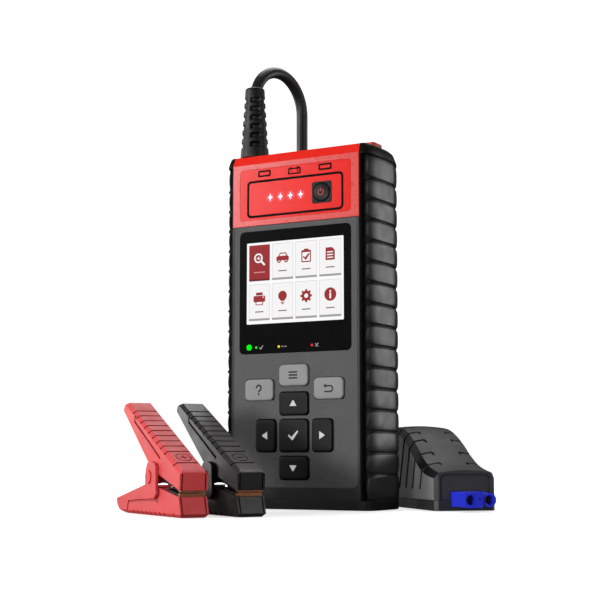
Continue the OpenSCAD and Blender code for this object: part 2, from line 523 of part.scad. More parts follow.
module module_base() color("#2b2c2e") at_module() difference() {
  union() {
    difference() {
      along_z(0, mb - 0.1) polygon(module_plan);
      translate([-module_l + 2.2, -13.2, 2]) cube([module_l - 4.6, 26.4, 10]);
    }
    // board posts
    for (x = [-74, -16], s = [-1, 1]) translate([x, s * 8.5, 1.5]) cylinder(h = 6, r = 1.6, $fn = 32);
  }
  translate([-6, plug_y - 9.4, 2.1]) cube([10, 19.2, 10]);
  for (x = [-8.5, -80], s = [-1, 1]) translate([x, s * 14.6, 0]) {
    translate([0, 0, -1]) cylinder(h = 10, r = 1.1, $fn = 32);
    translate([0, 0, -1]) cylinder(h = 3.2, r = 2.2, $fn = 32);
  }
}
module module_cover() color("#4a4b4e") at_module() difference() {
  loft([for (c = crest) ring(c[0], c[1], c[2], 0)]);
  difference() {
    translate([0, 0, -0.5]) loft(concat([ring(-2.6, 21.3, 3.4, 2.2)], [for (c = crest) if (c[0] < -3) ring(c[0] < -86 ? -85.8 : c[0], c[1], c[2], 2.2)]));
    for (x = [-8.5, -80], s = [-1, 1]) translate([x, s * 14.6, 0]) cylinder(h = 60, r = 2.6, $fn = 24);
  }
  // plug opening
  translate([-6, plug_y - 9.4, 2.1]) cube([10, 19.2, 8.9]);
  for (x = [-8.5, -80], s = [-1, 1]) translate([x, s * 14.6, 0]) cylinder(h = 14, r = 0.9, $fn = 24);
  // front corner bevels and the recessed front panel
  for (s = [-1, 1]) translate([0, s * module_hw, 0]) rotate([0, 0, 45]) cube([2.8, 2.8, 120], center = true);
  along_x(-0.8, 5) polygon(concat([[-15, 0], [15, 0]], arc(12, 17.4, 3, 0, 90, 6), arc(-12, 17.4, 3, 90, 180, 6)));
  // hooked grooves on the top, lines across the edge band and slots down the sides
  for (s = [-1, 1], g = hooks) {
    hull() { nick(g[0], s * (mhw(g[0]) - band), top_at(g[0]), 1.2); nick(g[0] - 0.6, s * 8.8, top_at(g[0] - 0.6) + crown_at(8.8), 1.2); }
    hull() { nick(g[0] - 0.6, s * 8.8, top_at(g[0] - 0.6) + crown_at(8.8), 1.2); nick(g[0] + 1.8, s * 8.2, top_at(g[0] + 1.8) + crown_at(8.2), 1.2); }
    hull() { nick(g[0], s * (mhw(g[0]) - band), top_at(g[0]), 0.9); nick(g[1], s * mhw(g[1]), edge_at(g[1]), 1.1); }
    hull() { nick(g[1], s * mhw(g[1]), edge_at(g[1]), 2); nick(g[2], s * mhw(g[2]), 12.6, 2); }
  }
  // lead inlets at the rear
  for (s = [-1, 1]) rod_x(s * 7.5, 16, -module_l - 5, -module_l + 6, 4.6);
}
module module_plug() color("#2438d6") at_module() difference() {
  union() {
    translate([-5.8, plug_y - 9.2, 2.3]) cube([8.8, 18.9, 8.5]);
    along_x(2.9, 20) polygon(rr(plug_y - 3.8, plug_z, 10.6, 8.6, 0.9));
    rod_x(plug_y + plug_pitch / 2, plug_z, 2.9, 19, 3.9);
    translate([2.9, plug_y, 7.4]) cube([6, 5, 2.4]);
  }
  for (s = [-1, 1]) rod_x(plug_y + s * plug_pitch / 2, plug_z, 4, 21, 2.7);
  rod_x(plug_y - 0.3, plug_z + 0.5, 17, 21, 0.6);
}
module module_contacts() color("#c9a227") at_module() for (s = [-1, 1]) difference() {
  rod_x(plug_y + s * plug_pitch / 2, plug_z, 4, 12, 2.7);
  rod_x(plug_y + s * plug_pitch / 2, plug_z, 4.8, 20, 2.4);
}
module module_board() color("#1f6b3a") at_module() translate([-78, -11.5, 7.6]) cube([66, 23, 1.6]);
module module_relay() color("#303236") at_module() translate([-72, -9.5, 9.2]) cube([28, 19, 16]);
module module_screws() color("#8a8c90") at_module() for (x = [-8.5, -80], s = [-1, 1]) translate([x, s * 14.6, 0]) {
  translate([0, 0, 0.4]) cylinder(h = 1.75, r = 2.1, $fn = 32);
  translate([0, 0, 1.2]) cylinder(h = 10, r = 0.88, $fn = 32);
}
module module_inlets() color("#1c1d1f") at_module() for (s = [-1, 1]) difference() {
  union() {
    rod_x(s * 7.5, 16, -module_l - 6, -module_l, 5.8);
    rod_x(s * 7.5, 16, -module_l - 1, -module_l + 5, 4.58);
  }
  rod_x(s * 7.5, 16, -module_l - 8, -module_l + 6, 3.2);
}

front_shell();
keypad_fascia();
red_cover();
label_plate();
rear_shell();
left_bumper();
right_bumper();
base_foot();
screen_lens();
lcd_panel();
status_led();
indicator_leds();
power_bezel();
power_button();
help_key();
menu_key();
back_key();
up_key();
down_key();
left_key();
right_key();
ok_key();
keypad_mat();
main_board();
battery_cells();
cell_holder();
bus_bars();
jump_socket();
socket_contacts();
port_cover();
port_cover_pin();
case_screws();
lead_boot();
obd_lead();
obd_coil();
obd_tail();
lead_tie();
obd_plug();
obd_plug_pins();
red_clamp_base();
red_clamp_lever();
red_clamp_lower_jaw();
red_clamp_upper_jaw();
red_clamp_pin();
red_clamp_spring();
black_clamp_base();
black_clamp_lever();
black_clamp_lower_jaw();
black_clamp_upper_jaw();
black_clamp_pin();
black_clamp_spring();
module_base();
module_cover();
module_plug();
module_contacts();
module_board();
module_relay();
module_screws();
module_inlets();
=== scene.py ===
import json
import math

import bmesh
import bpy
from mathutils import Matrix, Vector
from mathutils.geometry import tessellate_polygon


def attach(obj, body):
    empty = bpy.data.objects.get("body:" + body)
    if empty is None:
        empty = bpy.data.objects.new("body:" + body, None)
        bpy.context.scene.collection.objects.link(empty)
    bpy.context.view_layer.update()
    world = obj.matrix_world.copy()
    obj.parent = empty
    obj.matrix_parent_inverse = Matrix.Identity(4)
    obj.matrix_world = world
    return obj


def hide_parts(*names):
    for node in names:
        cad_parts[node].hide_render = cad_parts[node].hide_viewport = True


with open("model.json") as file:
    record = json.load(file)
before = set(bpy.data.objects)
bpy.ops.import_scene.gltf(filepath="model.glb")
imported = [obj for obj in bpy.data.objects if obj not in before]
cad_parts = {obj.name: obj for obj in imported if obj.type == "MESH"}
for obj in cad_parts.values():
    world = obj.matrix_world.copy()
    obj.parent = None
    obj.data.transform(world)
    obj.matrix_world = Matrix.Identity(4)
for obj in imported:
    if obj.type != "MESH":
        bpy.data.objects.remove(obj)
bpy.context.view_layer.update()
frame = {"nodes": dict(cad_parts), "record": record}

# Lengths below are millimetres in the part's own frame: the handset stands on z = 0 and its screen faces -Y.
NODES = frame["nodes"]
SCENE = bpy.context.scene
S = 0.001
F, B = -22.5, 22.5


# ------------------------------------------------------------------ camera
def make_camera():
    data = bpy.data.cameras.new("camera")
    data.sensor_width = 36.0
    data.lens = 80.42
    data.clip_start, data.clip_end = 0.01, 50
    cam = bpy.data.objects.new("camera", data)
    cam.location = (0.38097, -0.69910, 0.02964)
    cam.rotation_euler = (math.radians(96.704), 0, math.radians(29.134))
    SCENE.collection.objects.link(cam)
    SCENE.camera = cam


make_camera()


# ------------------------------------------------------------------ materials
def sock(node, name, kind=None):
    for s in node.inputs:
        if s.name == name and (kind is None or s.type == kind):
            return s
    raise KeyError(name)


class Mat:
    """A small builder for procedural materials on object coordinates."""

    def __init__(self, name):
        self.m = bpy.data.materials.new(name)
        self.m.use_nodes = True
        self.t = self.m.node_tree
        self.t.nodes.clear()
        self.out = self.t.nodes.new("ShaderNodeOutputMaterial")
        self.b = self.t.nodes.new("ShaderNodeBsdfPrincipled")
        self.t.links.new(self.b.outputs[0], self.out.inputs[0])
        self.tc = self.t.nodes.new("ShaderNodeTexCoord")
        self.xyz = None

    def link(self, a, b):
        self.t.links.new(a, b)

    def set(self, name, value):
        self.b.inputs[name].default_value = value

    def noise(self, scale, detail=3.0, rough=0.5, src=None, stretch=None):
        n = self.t.nodes.new("ShaderNodeTexNoise")
        n.inputs["Scale"].default_value = scale
        n.inputs["Detail"].default_value = detail
        n.inputs["Roughness"].default_value = rough
        co = src or self.tc.outputs["Object"]
        if stretch:
            mp = self.t.nodes.new("ShaderNodeMapping")
            mp.inputs["Scale"].default_value = stretch
            self.link(co, mp.inputs["Vector"])
            co = mp.outputs[0]
        self.link(co, n.inputs["Vector"])
        return n.outputs["Fac"]

    def remap(self, fac, a, b, lo=0.3, hi=0.7):
        n = self.t.nodes.new("ShaderNodeMapRange")
        n.inputs["From Min"].default_value = lo
        n.inputs["From Max"].default_value = hi
        n.inputs["To Min"].default_value = a
        n.inputs["To Max"].default_value = b
        self.link(fac, n.inputs["Value"])
        return n.outputs["Result"]

    def mix(self, fac, a, b):
        n = self.t.nodes.new("ShaderNodeMix")
        n.data_type = "RGBA"
        self.link(fac, n.inputs[0])
        for s, v in ((n.inputs[6], a), (n.inputs[7], b)):
            if isinstance(v, (tuple, list)):
                s.default_value = (v[0], v[1], v[2], 1.0)
            else:
                self.link(v, s)
        return n.outputs[2]

    def math(self, op, a, b=None, c=None):
        n = self.t.nodes.new("ShaderNodeMath")
        n.operation = op
        for i, v in enumerate((a, b, c)):
            if v is None:
                continue
            if isinstance(v, (int, float)):
                n.inputs[i].default_value = v
            else:
                self.link(v, n.inputs[i])
        return n.outputs[0]

    def axis(self, k):
        if self.xyz is None:
            self.xyz = self.t.nodes.new("ShaderNodeSeparateXYZ")
            self.link(self.tc.outputs["Object"], self.xyz.inputs[0])
        return self.xyz.outputs[k]

    def open(self, reach, lo=0.35, hi=0.9):
        """1 on open faces, 0 deep in the piece's own grooves."""
        n = self.t.nodes.new("ShaderNodeAmbientOcclusion")
        n.samples = 6
        n.only_local = True
        n.inputs["Distance"].default_value = reach * S
        return self.remap(n.outputs["AO"], 0.0, 1.0, lo, hi)

    def bump(self, height, strength, distance=0.0002, normal=None):
        n = self.t.nodes.new("ShaderNodeBump")
        n.inputs["Strength"].default_value = strength
        n.inputs["Distance"].default_value = distance
        self.link(height, n.inputs["Height"])
        if normal is not None:
            self.link(normal, n.inputs["Normal"])
        return n.outputs[0]


def shade(c, k):
    return tuple(min(1.0, max(0.0, x * k)) for x in c)


def plastic(name, color, rough=0.45, var=0.06, rvar=0.06, grain=0.12, gscale=1800.0, spec=0.5, coat=0.0, coat_rough=0.1, metal=0.0, cloud=45.0, painted_groove_shade=0.0, rear=0.0):
    """Moulded material: soft cloudy tone, roughness that wanders, fine spark-eroded grain; matter towards the back if
    asked; painted shade in its own grooves if asked.
    """
    m = Mat(name)
    m.set("Metallic", metal)
    m.set("Specular IOR Level", spec)
    if coat:
        m.set("Coat Weight", coat)
        m.set("Coat Roughness", coat_rough)
    tone = m.mix(m.remap(m.noise(cloud, 4.0), 0, 1), shade(color, 1 - var), shade(color, 1 + var))
    # painted shade: the colour darkens where the piece's own grooves and recesses enclose a point, and the gloss drops
    # there too
    if painted_groove_shade:
        clear = m.open(1.6)
        tone = m.mix(clear, shade(color, 1 - painted_groove_shade), tone)
        gloss = m.remap(clear, 0.1 * spec, spec, 0.0, 1.0)
        if rear:
            gloss = m.math("MULTIPLY", gloss, m.remap(m.axis(1), 1.0, 0.35, 8 * S, 13 * S))
        m.link(gloss, m.b.inputs["Specular IOR Level"])
    m.link(tone, m.b.inputs["Base Color"])
    wear = m.remap(m.noise(cloud * 3.1, 3.0), rough - rvar, rough + rvar)
    if rear:
        wear = m.math("ADD", wear, m.remap(m.axis(1), 0.0, rear, 8 * S, 13 * S))
    m.link(wear, m.b.inputs["Roughness"])
    m.link(m.bump(m.noise(gscale, 2.0), grain), m.b.inputs["Normal"])
    return m.m


def metal(name, color, rough=0.3, stretch=(1, 1, 1), bump=0.1, scale=900.0, var=0.1):
    """Bare metal with fine drawn lines."""
    m = Mat(name)
    m.set("Metallic", 1.0)
    n = m.noise(scale, 3.0, stretch=stretch)
    m.link(m.mix(m.remap(n, 0, 1), shade(color, 1 - var), shade(color, 1 + var)), m.b.inputs["Base Color"])
    m.link(m.remap(n, rough - 0.08, rough + 0.1), m.b.inputs["Roughness"])
    m.link(m.bump(n, bump, 0.0001), m.b.inputs["Normal"])
    return m.m


def hatched(name, color, rough=0.5, pitch=1.3, depth=0.8, tone=0.6, spec=0.25):
    """Satin plastic with a fine diagonal rib on its front side."""
    m = Mat(name)
    m.set("Specular IOR Level", spec)
    k = 2 * math.pi / (pitch * S * math.sqrt(2))
    wave = m.math("SINE", m.math("MULTIPLY", m.math("SUBTRACT", m.axis(0), m.axis(2)), k))
    facing = m.t.nodes.new("ShaderNodeSeparateXYZ")
    m.link(m.tc.outputs["Normal"], facing.inputs[0])
    front = m.math("LESS_THAN", facing.outputs[1], -0.7)
    above = m.math("GREATER_THAN", m.axis(2), 12.55 * S)
    here = m.math("MULTIPLY", front, above)
    rib = m.math("MULTIPLY", wave, here)
    cloud = m.mix(m.remap(m.noise(30.0, 3.0), 0, 1), shade(color, 0.96), shade(color, 1.04))
    dark = m.mix(m.math("MULTIPLY_ADD", rib, 0.5 * tone, 0.5 * tone), cloud, shade(color, 0.45))
    m.link(dark, m.b.inputs["Base Color"])
    m.link(m.remap(m.noise(120.0, 3.0), rough - 0.05, rough + 0.06), m.b.inputs["Roughness"])
    grain = m.bump(m.noise(1900.0, 2.0), 0.08)
    m.link(m.bump(rib, depth, 0.00012, grain), m.b.inputs["Normal"])
    return m.m


def cover_mat(name, color, front, rough):
    """Smooth plastic whose front frame, found by facing -Y, is paler, speckled and more specular: its paler colour is a
    painted sheen.
    """
    m = Mat(name)
    sep = m.t.nodes.new("ShaderNodeSeparateXYZ")
    m.link(m.tc.outputs["Normal"], sep.inputs[0])
    flat = m.remap(m.math("MULTIPLY", sep.outputs[1], -1.0), 0.0, 1.0, 0.9, 0.99)
    cloud = m.remap(m.noise(45.0, 4.0), 0, 1)
    speck = m.remap(m.noise(900.0, 2.0), 0.0, 1.0)
    body = m.mix(cloud, shade(color, 0.96), shade(color, 1.04))
    # painted sheen: the front frame's paler red stands in for light on it; the speckle is grain
    painted_sheen_front = m.mix(speck, shade(front, 0.9), shade(front, 1.1))
    m.link(m.mix(flat, body, painted_sheen_front), m.b.inputs["Base Color"])
    m.link(m.remap(flat, 0.06, 0.48, 0.0, 1.0), m.b.inputs["Specular IOR Level"])
    m.link(m.remap(m.noise(140.0, 3.0), rough - 0.012, rough + 0.015), m.b.inputs["Roughness"])
    m.link(m.bump(m.noise(1500.0, 2.0), 0.1), m.b.inputs["Normal"])
    return m.m


def lit(name, color, strength=1.0, pitch=0.24, depth=0.04, base=0.0):
    """Glowing film: even emitted light with the faint grid of a pixel panel; back-lit for the screen, a painted glow on
    the key prints.
    """
    m = Mat(name)
    m.set("Base Color", (base, base, base, 1))
    m.set("Roughness", 0.4)
    m.set("Specular IOR Level", 0.06)
    k = 2 * math.pi / (pitch * S)
    gx = m.math("SINE", m.math("MULTIPLY", m.axis(0), k))
    gz = m.math("SINE", m.math("MULTIPLY", m.axis(2), k))
    grid = m.math("MULTIPLY_ADD", m.math("MULTIPLY", gx, gz), 0.5, 0.5)
    m.link(m.mix(grid, shade(color, 1 - depth), color), m.b.inputs["Emission Color"])
    m.set("Emission Strength", strength)
    return m.m


def lamp_mat(name, color, core, strength, centres, radius):
    """Lamp lens, and the painted glint round a lamp: hottest in the middle of each lamp."""
    m = Mat(name)
    m.set("Base Color", (*shade(color, 0.6), 1))
    m.set("Roughness", 0.2)
    m.set("Specular IOR Level", 0.03)
    near = None
    for cx, cz in centres:
        dx = m.math("SUBTRACT", m.axis(0), cx * S)
        dz = m.math("SUBTRACT", m.axis(2), cz * S)
        d = m.math("SQRT", m.math("ADD", m.math("MULTIPLY", dx, dx), m.math("MULTIPLY", dz, dz)))
        near = d if near is None else m.math("MINIMUM", near, d)
    m.link(m.mix(m.remap(near, 0, 1, 0.0, radius * S), core, color), m.b.inputs["Emission Color"])
    m.set("Emission Strength", strength)
    return m.m


LAMPS = [(-16.4, 183.2), (-9.5, 183.2), (-2.7, 183.2), (4.2, 183.2)]


def label_mat(name, color, rough):
    """Smooth red film with the lamps' light spilling onto it."""
    m = Mat(name)
    m.set("Specular IOR Level", 0.24)
    tone = m.mix(m.remap(m.noise(26.0, 3.0), 0, 1), shade(color, 0.95), shade(color, 1.05))
    m.link(tone, m.b.inputs["Base Color"])
    m.link(m.remap(m.noise(90.0, 3.0), rough - 0.01, rough + 0.012), m.b.inputs["Roughness"])
    m.link(m.bump(m.noise(1500.0, 2.0), 0.03), m.b.inputs["Normal"])
    total = None
    for cx, cz in LAMPS:
        dx = m.math("SUBTRACT", m.axis(0), cx * S)
        dz = m.math("SUBTRACT", m.axis(2), cz * S)
        d2 = m.math("ADD", m.math("MULTIPLY", dx, dx), m.math("MULTIPLY", dz, dz))
        g = m.math("EXPONENT", m.math("MULTIPLY", d2, -1.0 / (1.7 * S) ** 2))
        total = g if total is None else m.math("ADD", total, g)
    m.link(m.mix(total, (0, 0, 0), (1.0, 0.42, 0.55)), m.b.inputs["Emission Color"])
    m.set("Emission Strength", 0.55)
    return m.m


MT = {
    "grey_case": plastic("case_grey", (0.034, 0.034, 0.0345), rough=0.5, grain=0.12, spec=0.3),
    "grey_fascia": hatched("inlay_grey", (0.112, 0.112, 0.113), rough=0.55),
    "red_cover": cover_mat("cover_red", (0.92, 0.022, 0.012), (0.74, 0.056, 0.051), 0.28),
    "red_label": label_mat("label_red", (0.84, 0.0095, 0.005), 0.26),
    "black_case": plastic("case_black", (0.022, 0.022, 0.0225), rough=0.5, grain=0.22, gscale=1300),
    "grip": plastic("grip_rubber", (0.023, 0.023, 0.0233), rough=0.37, grain=0.2, gscale=1700, spec=0.5, painted_groove_shade=0.45, rear=0.35),
    "foot": plastic("foot_rubber", (0.006, 0.006, 0.0062), rough=0.6, grain=0.2, spec=0.3),
    "cover_glass": plastic("glass_black", (0.0055, 0.0055, 0.0057), rough=0.24, var=0.1, rvar=0.03, grain=0.0, spec=0.012),
    "lcd": plastic("panel_grey", (0.5, 0.51, 0.53), rough=0.3, grain=0.02),
    "green_lamp": lamp_mat("lamp_green", (0.0, 0.72, 0.003), (0.003, 0.92, 0.004), 1.0, [(-30.7, 94.3)], 1.8),
    "white_lamp": lamp_mat("lamp_white", (0.74, 0.05, 0.06), (0.95, 0.35, 0.42), 1.0, LAMPS, 1.4),
    "dark_gloss": plastic("button_black", (0.010, 0.010, 0.0105), rough=0.45, grain=0.1, spec=0.17),
    "grey_key": plastic("key_grey", (0.27, 0.27, 0.272), rough=0.5, grain=0.12, spec=0.3),
    "dark_key": plastic("key_black", (0.0085, 0.0085, 0.0088), rough=0.5, grain=0.12, spec=0.15),
    "silicone": plastic("silicone_grey", (0.28, 0.29, 0.30), rough=0.6, grain=0.15),
    "board": plastic("board_green", (0.012, 0.13, 0.045), rough=0.35, var=0.25, cloud=260.0, grain=0.3, gscale=700, coat=0.3),
    "cell": plastic("cell_film", (0.06, 0.13, 0.32), rough=0.3, grain=0.05, coat=0.3),
    "copper": metal("copper_bare", (0.55, 0.24, 0.12), 0.36),
    "brass": metal("brass_bare", (0.70, 0.50, 0.20), 0.3),
    "red_flap": plastic("flap_red", (0.72, 0.03, 0.02), rough=0.5, grain=0.15),
    "steel": metal("steel_bare", (0.48, 0.48, 0.50), 0.34),
    "lead": plastic("lead_jacket", (0.012, 0.012, 0.0122), rough=0.42, grain=0.1, gscale=1500, spec=0.5),
    "red_clamp": plastic("clamp_red", (0.70, 0.068, 0.072), rough=0.46, grain=0.22, gscale=1400, spec=0.35, painted_groove_shade=0.75),
    "black_clamp": plastic("clamp_black", (0.020, 0.020, 0.0204), rough=0.34, grain=0.22, gscale=1400, painted_groove_shade=0.85),
    "module_base": plastic("module_base_black", (0.036, 0.036, 0.0365), rough=0.5, grain=0.25, gscale=1300),
    "blue_plug": plastic("plug_blue", (0.026, 0.042, 0.84), rough=0.36, grain=0.08),
}


def module_mat(name, color, edge, rough, turn):
    """Grained cover whose bevelled edge band is moulded in a darker plastic: found by its slope in the module's own
    axes. Its side faces are painted lighter as painted light, and painted shade darkens its slots and grooves.
    """
    m = Mat(name)
    sep = m.t.nodes.new("ShaderNodeSeparateXYZ")
    m.link(m.tc.outputs["Normal"], sep.inputs[0])
    c, s = math.cos(math.radians(turn)), math.sin(math.radians(turn))
    across = m.math("ABSOLUTE", m.math("ADD", m.math("MULTIPLY", sep.outputs[0], -s), m.math("MULTIPLY", sep.outputs[1], c)))
    steep = m.math("MULTIPLY", m.math("GREATER_THAN", across, 0.55), m.math("LESS_THAN", across, 0.975))
    here = m.math("MULTIPLY", steep, m.math("GREATER_THAN", sep.outputs[2], 0.2))
    tone = m.mix(m.remap(m.noise(45.0, 4.0), 0, 1), shade(color, 0.94), shade(color, 1.06))
    # painted light: the side faces get about four times the top's tone, as if lit
    side = m.mix(m.remap(m.noise(60.0, 4.0), 0, 1), shade(color, 3.9), shade(color, 4.3))
    tone = m.mix(m.math("GREATER_THAN", across, 0.975), tone, side)
    # painted shade: the colour falls to a tenth deep in the slots and grooves
    m.link(m.mix(m.open(2.2, 0.5, 0.95), shade(color, 0.1), m.mix(here, tone, edge)), m.b.inputs["Base Color"])
    m.set("Specular IOR Level", 0.14)
    m.link(m.remap(m.noise(140.0, 3.0), rough - 0.06, rough + 0.06), m.b.inputs["Roughness"])
    m.link(m.bump(m.noise(1200.0, 2.0), 0.3), m.b.inputs["Normal"])
    return m.m


def jaw_mat(name, at, turn):
    """Toothed copper jaw, painted near-black back from the tip as painted shade in the mouth; bare copper at its tip.
    """
    m = Mat(name)
    c, s = math.cos(math.radians(turn)), math.sin(math.radians(turn))
    along = m.math("ADD", m.math("MULTIPLY", m.math("SUBTRACT", m.axis(0), at[0] * S), c), m.math("MULTIPLY", m.math("SUBTRACT", m.axis(1), at[1] * S), s))
    tip = m.remap(along, 0.0, 1.0, -6.4 * S, -5.7 * S)
    fine = m.noise(900.0, 3.0)
    copper = m.mix(m.remap(fine, 0, 1), (0.50, 0.20, 0.10), (0.62, 0.27, 0.14))
    # painted shade: near-black everywhere behind the copper tip
    m.link(m.mix(tip, (0.012, 0.012, 0.0122), copper), m.b.inputs["Base Color"])
    m.link(tip, m.b.inputs["Metallic"])
    m.set("Specular IOR Level", 0.12)
    m.link(m.remap(fine, 0.3, 0.45), m.b.inputs["Roughness"])
    m.link(m.bump(fine, 0.1, 0.0001), m.b.inputs["Normal"])
    return m.m


JAW = {"red": jaw_mat("jaw_red", (11, -141), -33), "black": jaw_mat("jaw_black", (30.8, -118.9), -33)}
MT["module_cover"] = module_mat("module_cover_grey", (0.058, 0.058, 0.059), (0.010, 0.010, 0.0103), 0.48, -45.7)
# near-black rubber; in the grip's channel it is painted shade
GRIP_BLACK_AND_SHADE = plastic("grip_black_and_painted_shade", (0.004, 0.004, 0.0042), rough=0.5, grain=0.2, gscale=1700, spec=0.12)
BOOT = plastic("boot_rubber", (0.006, 0.006, 0.0062), rough=0.48, grain=0.15, gscale=1500, spec=0.4)
PRINT_BLACK = plastic("print_black", (0.0035, 0.0035, 0.0038), rough=0.5, grain=0.05, spec=0.03)
# painted glow: the white key prints shine faintly so they stay bright in shade; they are no lamps
PRINT_WHITE_PAINTED_GLOW = lit("print_white_painted_glow", (0.33, 0.33, 0.33), 1.0, pitch=0.9, base=0.35)
PRINT_DARK = plastic("print_grey", (0.012, 0.012, 0.0123), rough=0.5, grain=0.05, spec=0.2)
PRINT_PALE = plastic("print_pale", (0.34, 0.34, 0.34), rough=0.5, grain=0.05)
# painted glint: the four-pointed flare star round each lamp
PAINTED_GLINT = lamp_mat("lamp_painted_glint", (0.80, 0.22, 0.40), (1, 0.94, 1.0), 1.8, LAMPS, 2.9)
RED_GLOW = lit("symbol_red", (0.42, 0.035, 0.028), 1.0, base=0.05)
UI_WHITE = lit("screen_white", (0.98, 0.98, 0.99), 1.0)
UI_TILE = lit("screen_tile", (0.93, 0.92, 0.92), 1.0)
UI_LINE = lit("screen_line", (0.62, 0.60, 0.60), 1.0)
UI_SHADE = lit("screen_shade", (0.36, 0.35, 0.35), 1.0)
UI_RED = lit("screen_red", (0.33, 0.028, 0.034), 1.0)
UI_RED_LOW = lit("screen_red_low", (0.17, 0.016, 0.02), 1.0)
UI_TEXT = lit("screen_text", (0.20, 0.19, 0.19), 1.0)
UI_PINK = lit("screen_pink", (0.62, 0.25, 0.25), 1.0)
DOT_GREEN = lit("dot_green", (0.02, 0.72, 0.05), 1.0)
DOT_YELLOW = lit("dot_yellow", (0.80, 0.72, 0.03), 1.0)
DOT_RED = lit("dot_red", (0.72, 0.03, 0.02), 1.0)


# ------------------------------------------------------------------ mesh tools
def add(name, verts, faces, mat, body, slot=None, angle=38.0, weighted=True, replaces=()):
    me = bpy.data.meshes.new(name)
    me.from_pydata([(x * S, y * S, z * S) for x, y, z in verts], [], faces)
    bm = bmesh.new()
    bm.from_mesh(me)
    bmesh.ops.remove_doubles(bm, verts=bm.verts, dist=1e-7)
    bmesh.ops.recalc_face_normals(bm, faces=bm.faces)
    bm.to_mesh(me)
    bm.free()
    me.polygons.foreach_set("use_smooth", [True] * len(me.polygons))
    me.set_sharp_from_angle(angle=math.radians(angle))
    o = bpy.data.objects.new(name, me)
    SCENE.collection.objects.link(o)
    me.materials.append(mat)
    if weighted:
        w = o.modifiers.new("normals", "WEIGHTED_NORMAL")
        w.keep_sharp = True
    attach(o, body)
    if replaces:
        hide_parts(*replaces)
    return o


def front(u, v, w):
    """Drawings in (x, z), with depth along y."""
    return (u, w, v)


def inset_loop(loop, d):
    """A closed loop moved to its left by d: into the material for an outline drawn anticlockwise."""
    if abs(d) < 1e-9:
        return list(loop)
    n, out = len(loop), []
    for i in range(n):
        (ax, ay), (bx, by), (cx, cy) = loop[i - 1], loop[i], loop[(i + 1) % n]
        e1, e2 = Vector((bx - ax, by - ay)), Vector((cx - bx, cy - by))
        if e1.length < 1e-9 or e2.length < 1e-9:
            out.append((bx, by))
            continue
        e1.normalize(), e2.normalize()
        n1, n2 = Vector((-e1.y, e1.x)), Vector((-e2.y, e2.x))
        b = n1 + n2
        if b.length < 1e-6:
            b = n1.copy()
        b.normalize()
        k = d / max(0.35, b.dot(n1))
        out.append((bx + b.x * k, by + b.y * k))
    return out


def slab_data(loops, prof, place=front):
    """Closed solid from an outline with holes (drawn clockwise). prof lists (inset, depth) from one end to the other."""
    verts, faces, ends = [], [], ([], [])
    for loop in loops:
        n, base = len(loop), len(verts)
        for d, w in prof:
            verts += [place(u, v, w) for u, v in inset_loop(loop, d)]
        for k in range(len(prof) - 1):
            a, b = base + k * n, base + (k + 1) * n
            faces += [(a + i, a + (i + 1) % n, b + (i + 1) % n, b + i) for i in range(n)]
        ends[0].append([base + i for i in range(n)])
        ends[1].append([base + (len(prof) - 1) * n + i for i in range(n)])
    for side, (d, w) in ((0, prof[0]), (1, prof[-1])):
        flat = [i for ring in ends[side] for i in ring]
        polys = [[Vector((u, v, 0)) for u, v in inset_loop(loop, d)] for loop in loops]
        faces += [tuple(flat[i] for i in tri) for tri in tessellate_polygon(polys)]
    return verts, faces


def slab(name, loops, prof, mat, body, place=front, **kw):
    v, f = slab_data(loops, prof, place)
    return add(name, v, f, mat, body, **kw)


def joined(name, parts, mat, body, **kw):
    verts, faces = [], []
    for v, f in parts:
        k = len(verts)
        verts += v
        faces += [tuple(i + k for i in g) for g in f]
    return add(name, verts, faces, mat, body, **kw)


def rr(cx, cz, w, h, r, n=6):
    pts = []
    for sx, sz, a0 in ((1, 1, 0), (-1, 1, 90), (-1, -1, 180), (1, -1, 270)):
        for i in range(n + 1):
            a = math.radians(a0 + 90 * i / n)
            pts.append((cx + sx * (w / 2 - r) + r * math.cos(a), cz + sz * (h / 2 - r) + r * math.sin(a)))
    return pts


def circle(cx, cz, r, n=28):
    return [(cx + r * math.cos(2 * math.pi * i / n), cz + r * math.sin(2 * math.pi * i / n)) for i in range(n)]


def hole(loop):
    return list(reversed(loop))


def bar(points, w, caps=5):
    """Outline of a line of width w with round ends."""
    left, right, n = [], [], len(points)
    for i in range(n):
        a, b = Vector(points[max(0, i - 1)]), Vector(points[min(n - 1, i + 1)])
        d = (b - a).normalized()
        nrm = Vector((-d.y, d.x))
        k = 1.0
        if 0 < i < n - 1:
            d1 = (Vector(points[i]) - a).normalized()
            k = 1 / max(0.5, nrm.dot(Vector((-d1.y, d1.x))))
        p = Vector(points[i])
        left.append(tuple(p + nrm * w / 2 * k))
        right.append(tuple(p - nrm * w / 2 * k))

    def cap(p, q):
        c = (Vector(p) + Vector(q)) / 2
        a0 = math.atan2(p[1] - c.y, p[0] - c.x)
        return [(c.x + w / 2 * math.cos(a0 - math.pi * j / (caps + 1)), c.y + w / 2 * math.sin(a0 - math.pi * j / (caps + 1))) for j in range(1, caps + 1)]

    loop = left + cap(left[-1], right[-1]) + right[::-1] + cap(right[0], left[0])
    area = sum(loop[i - 1][0] * loop[i][1] - loop[i][0] * loop[i - 1][1] for i in range(len(loop)))
    return loop if area > 0 else loop[::-1]


def arc_pts(cx, cz, r, a0, a1, n=16):
    return [(cx + r * math.cos(math.radians(a0 + (a1 - a0) * i / n)), cz + r * math.sin(math.radians(a0 + (a1 - a0) * i / n))) for i in range(n + 1)]


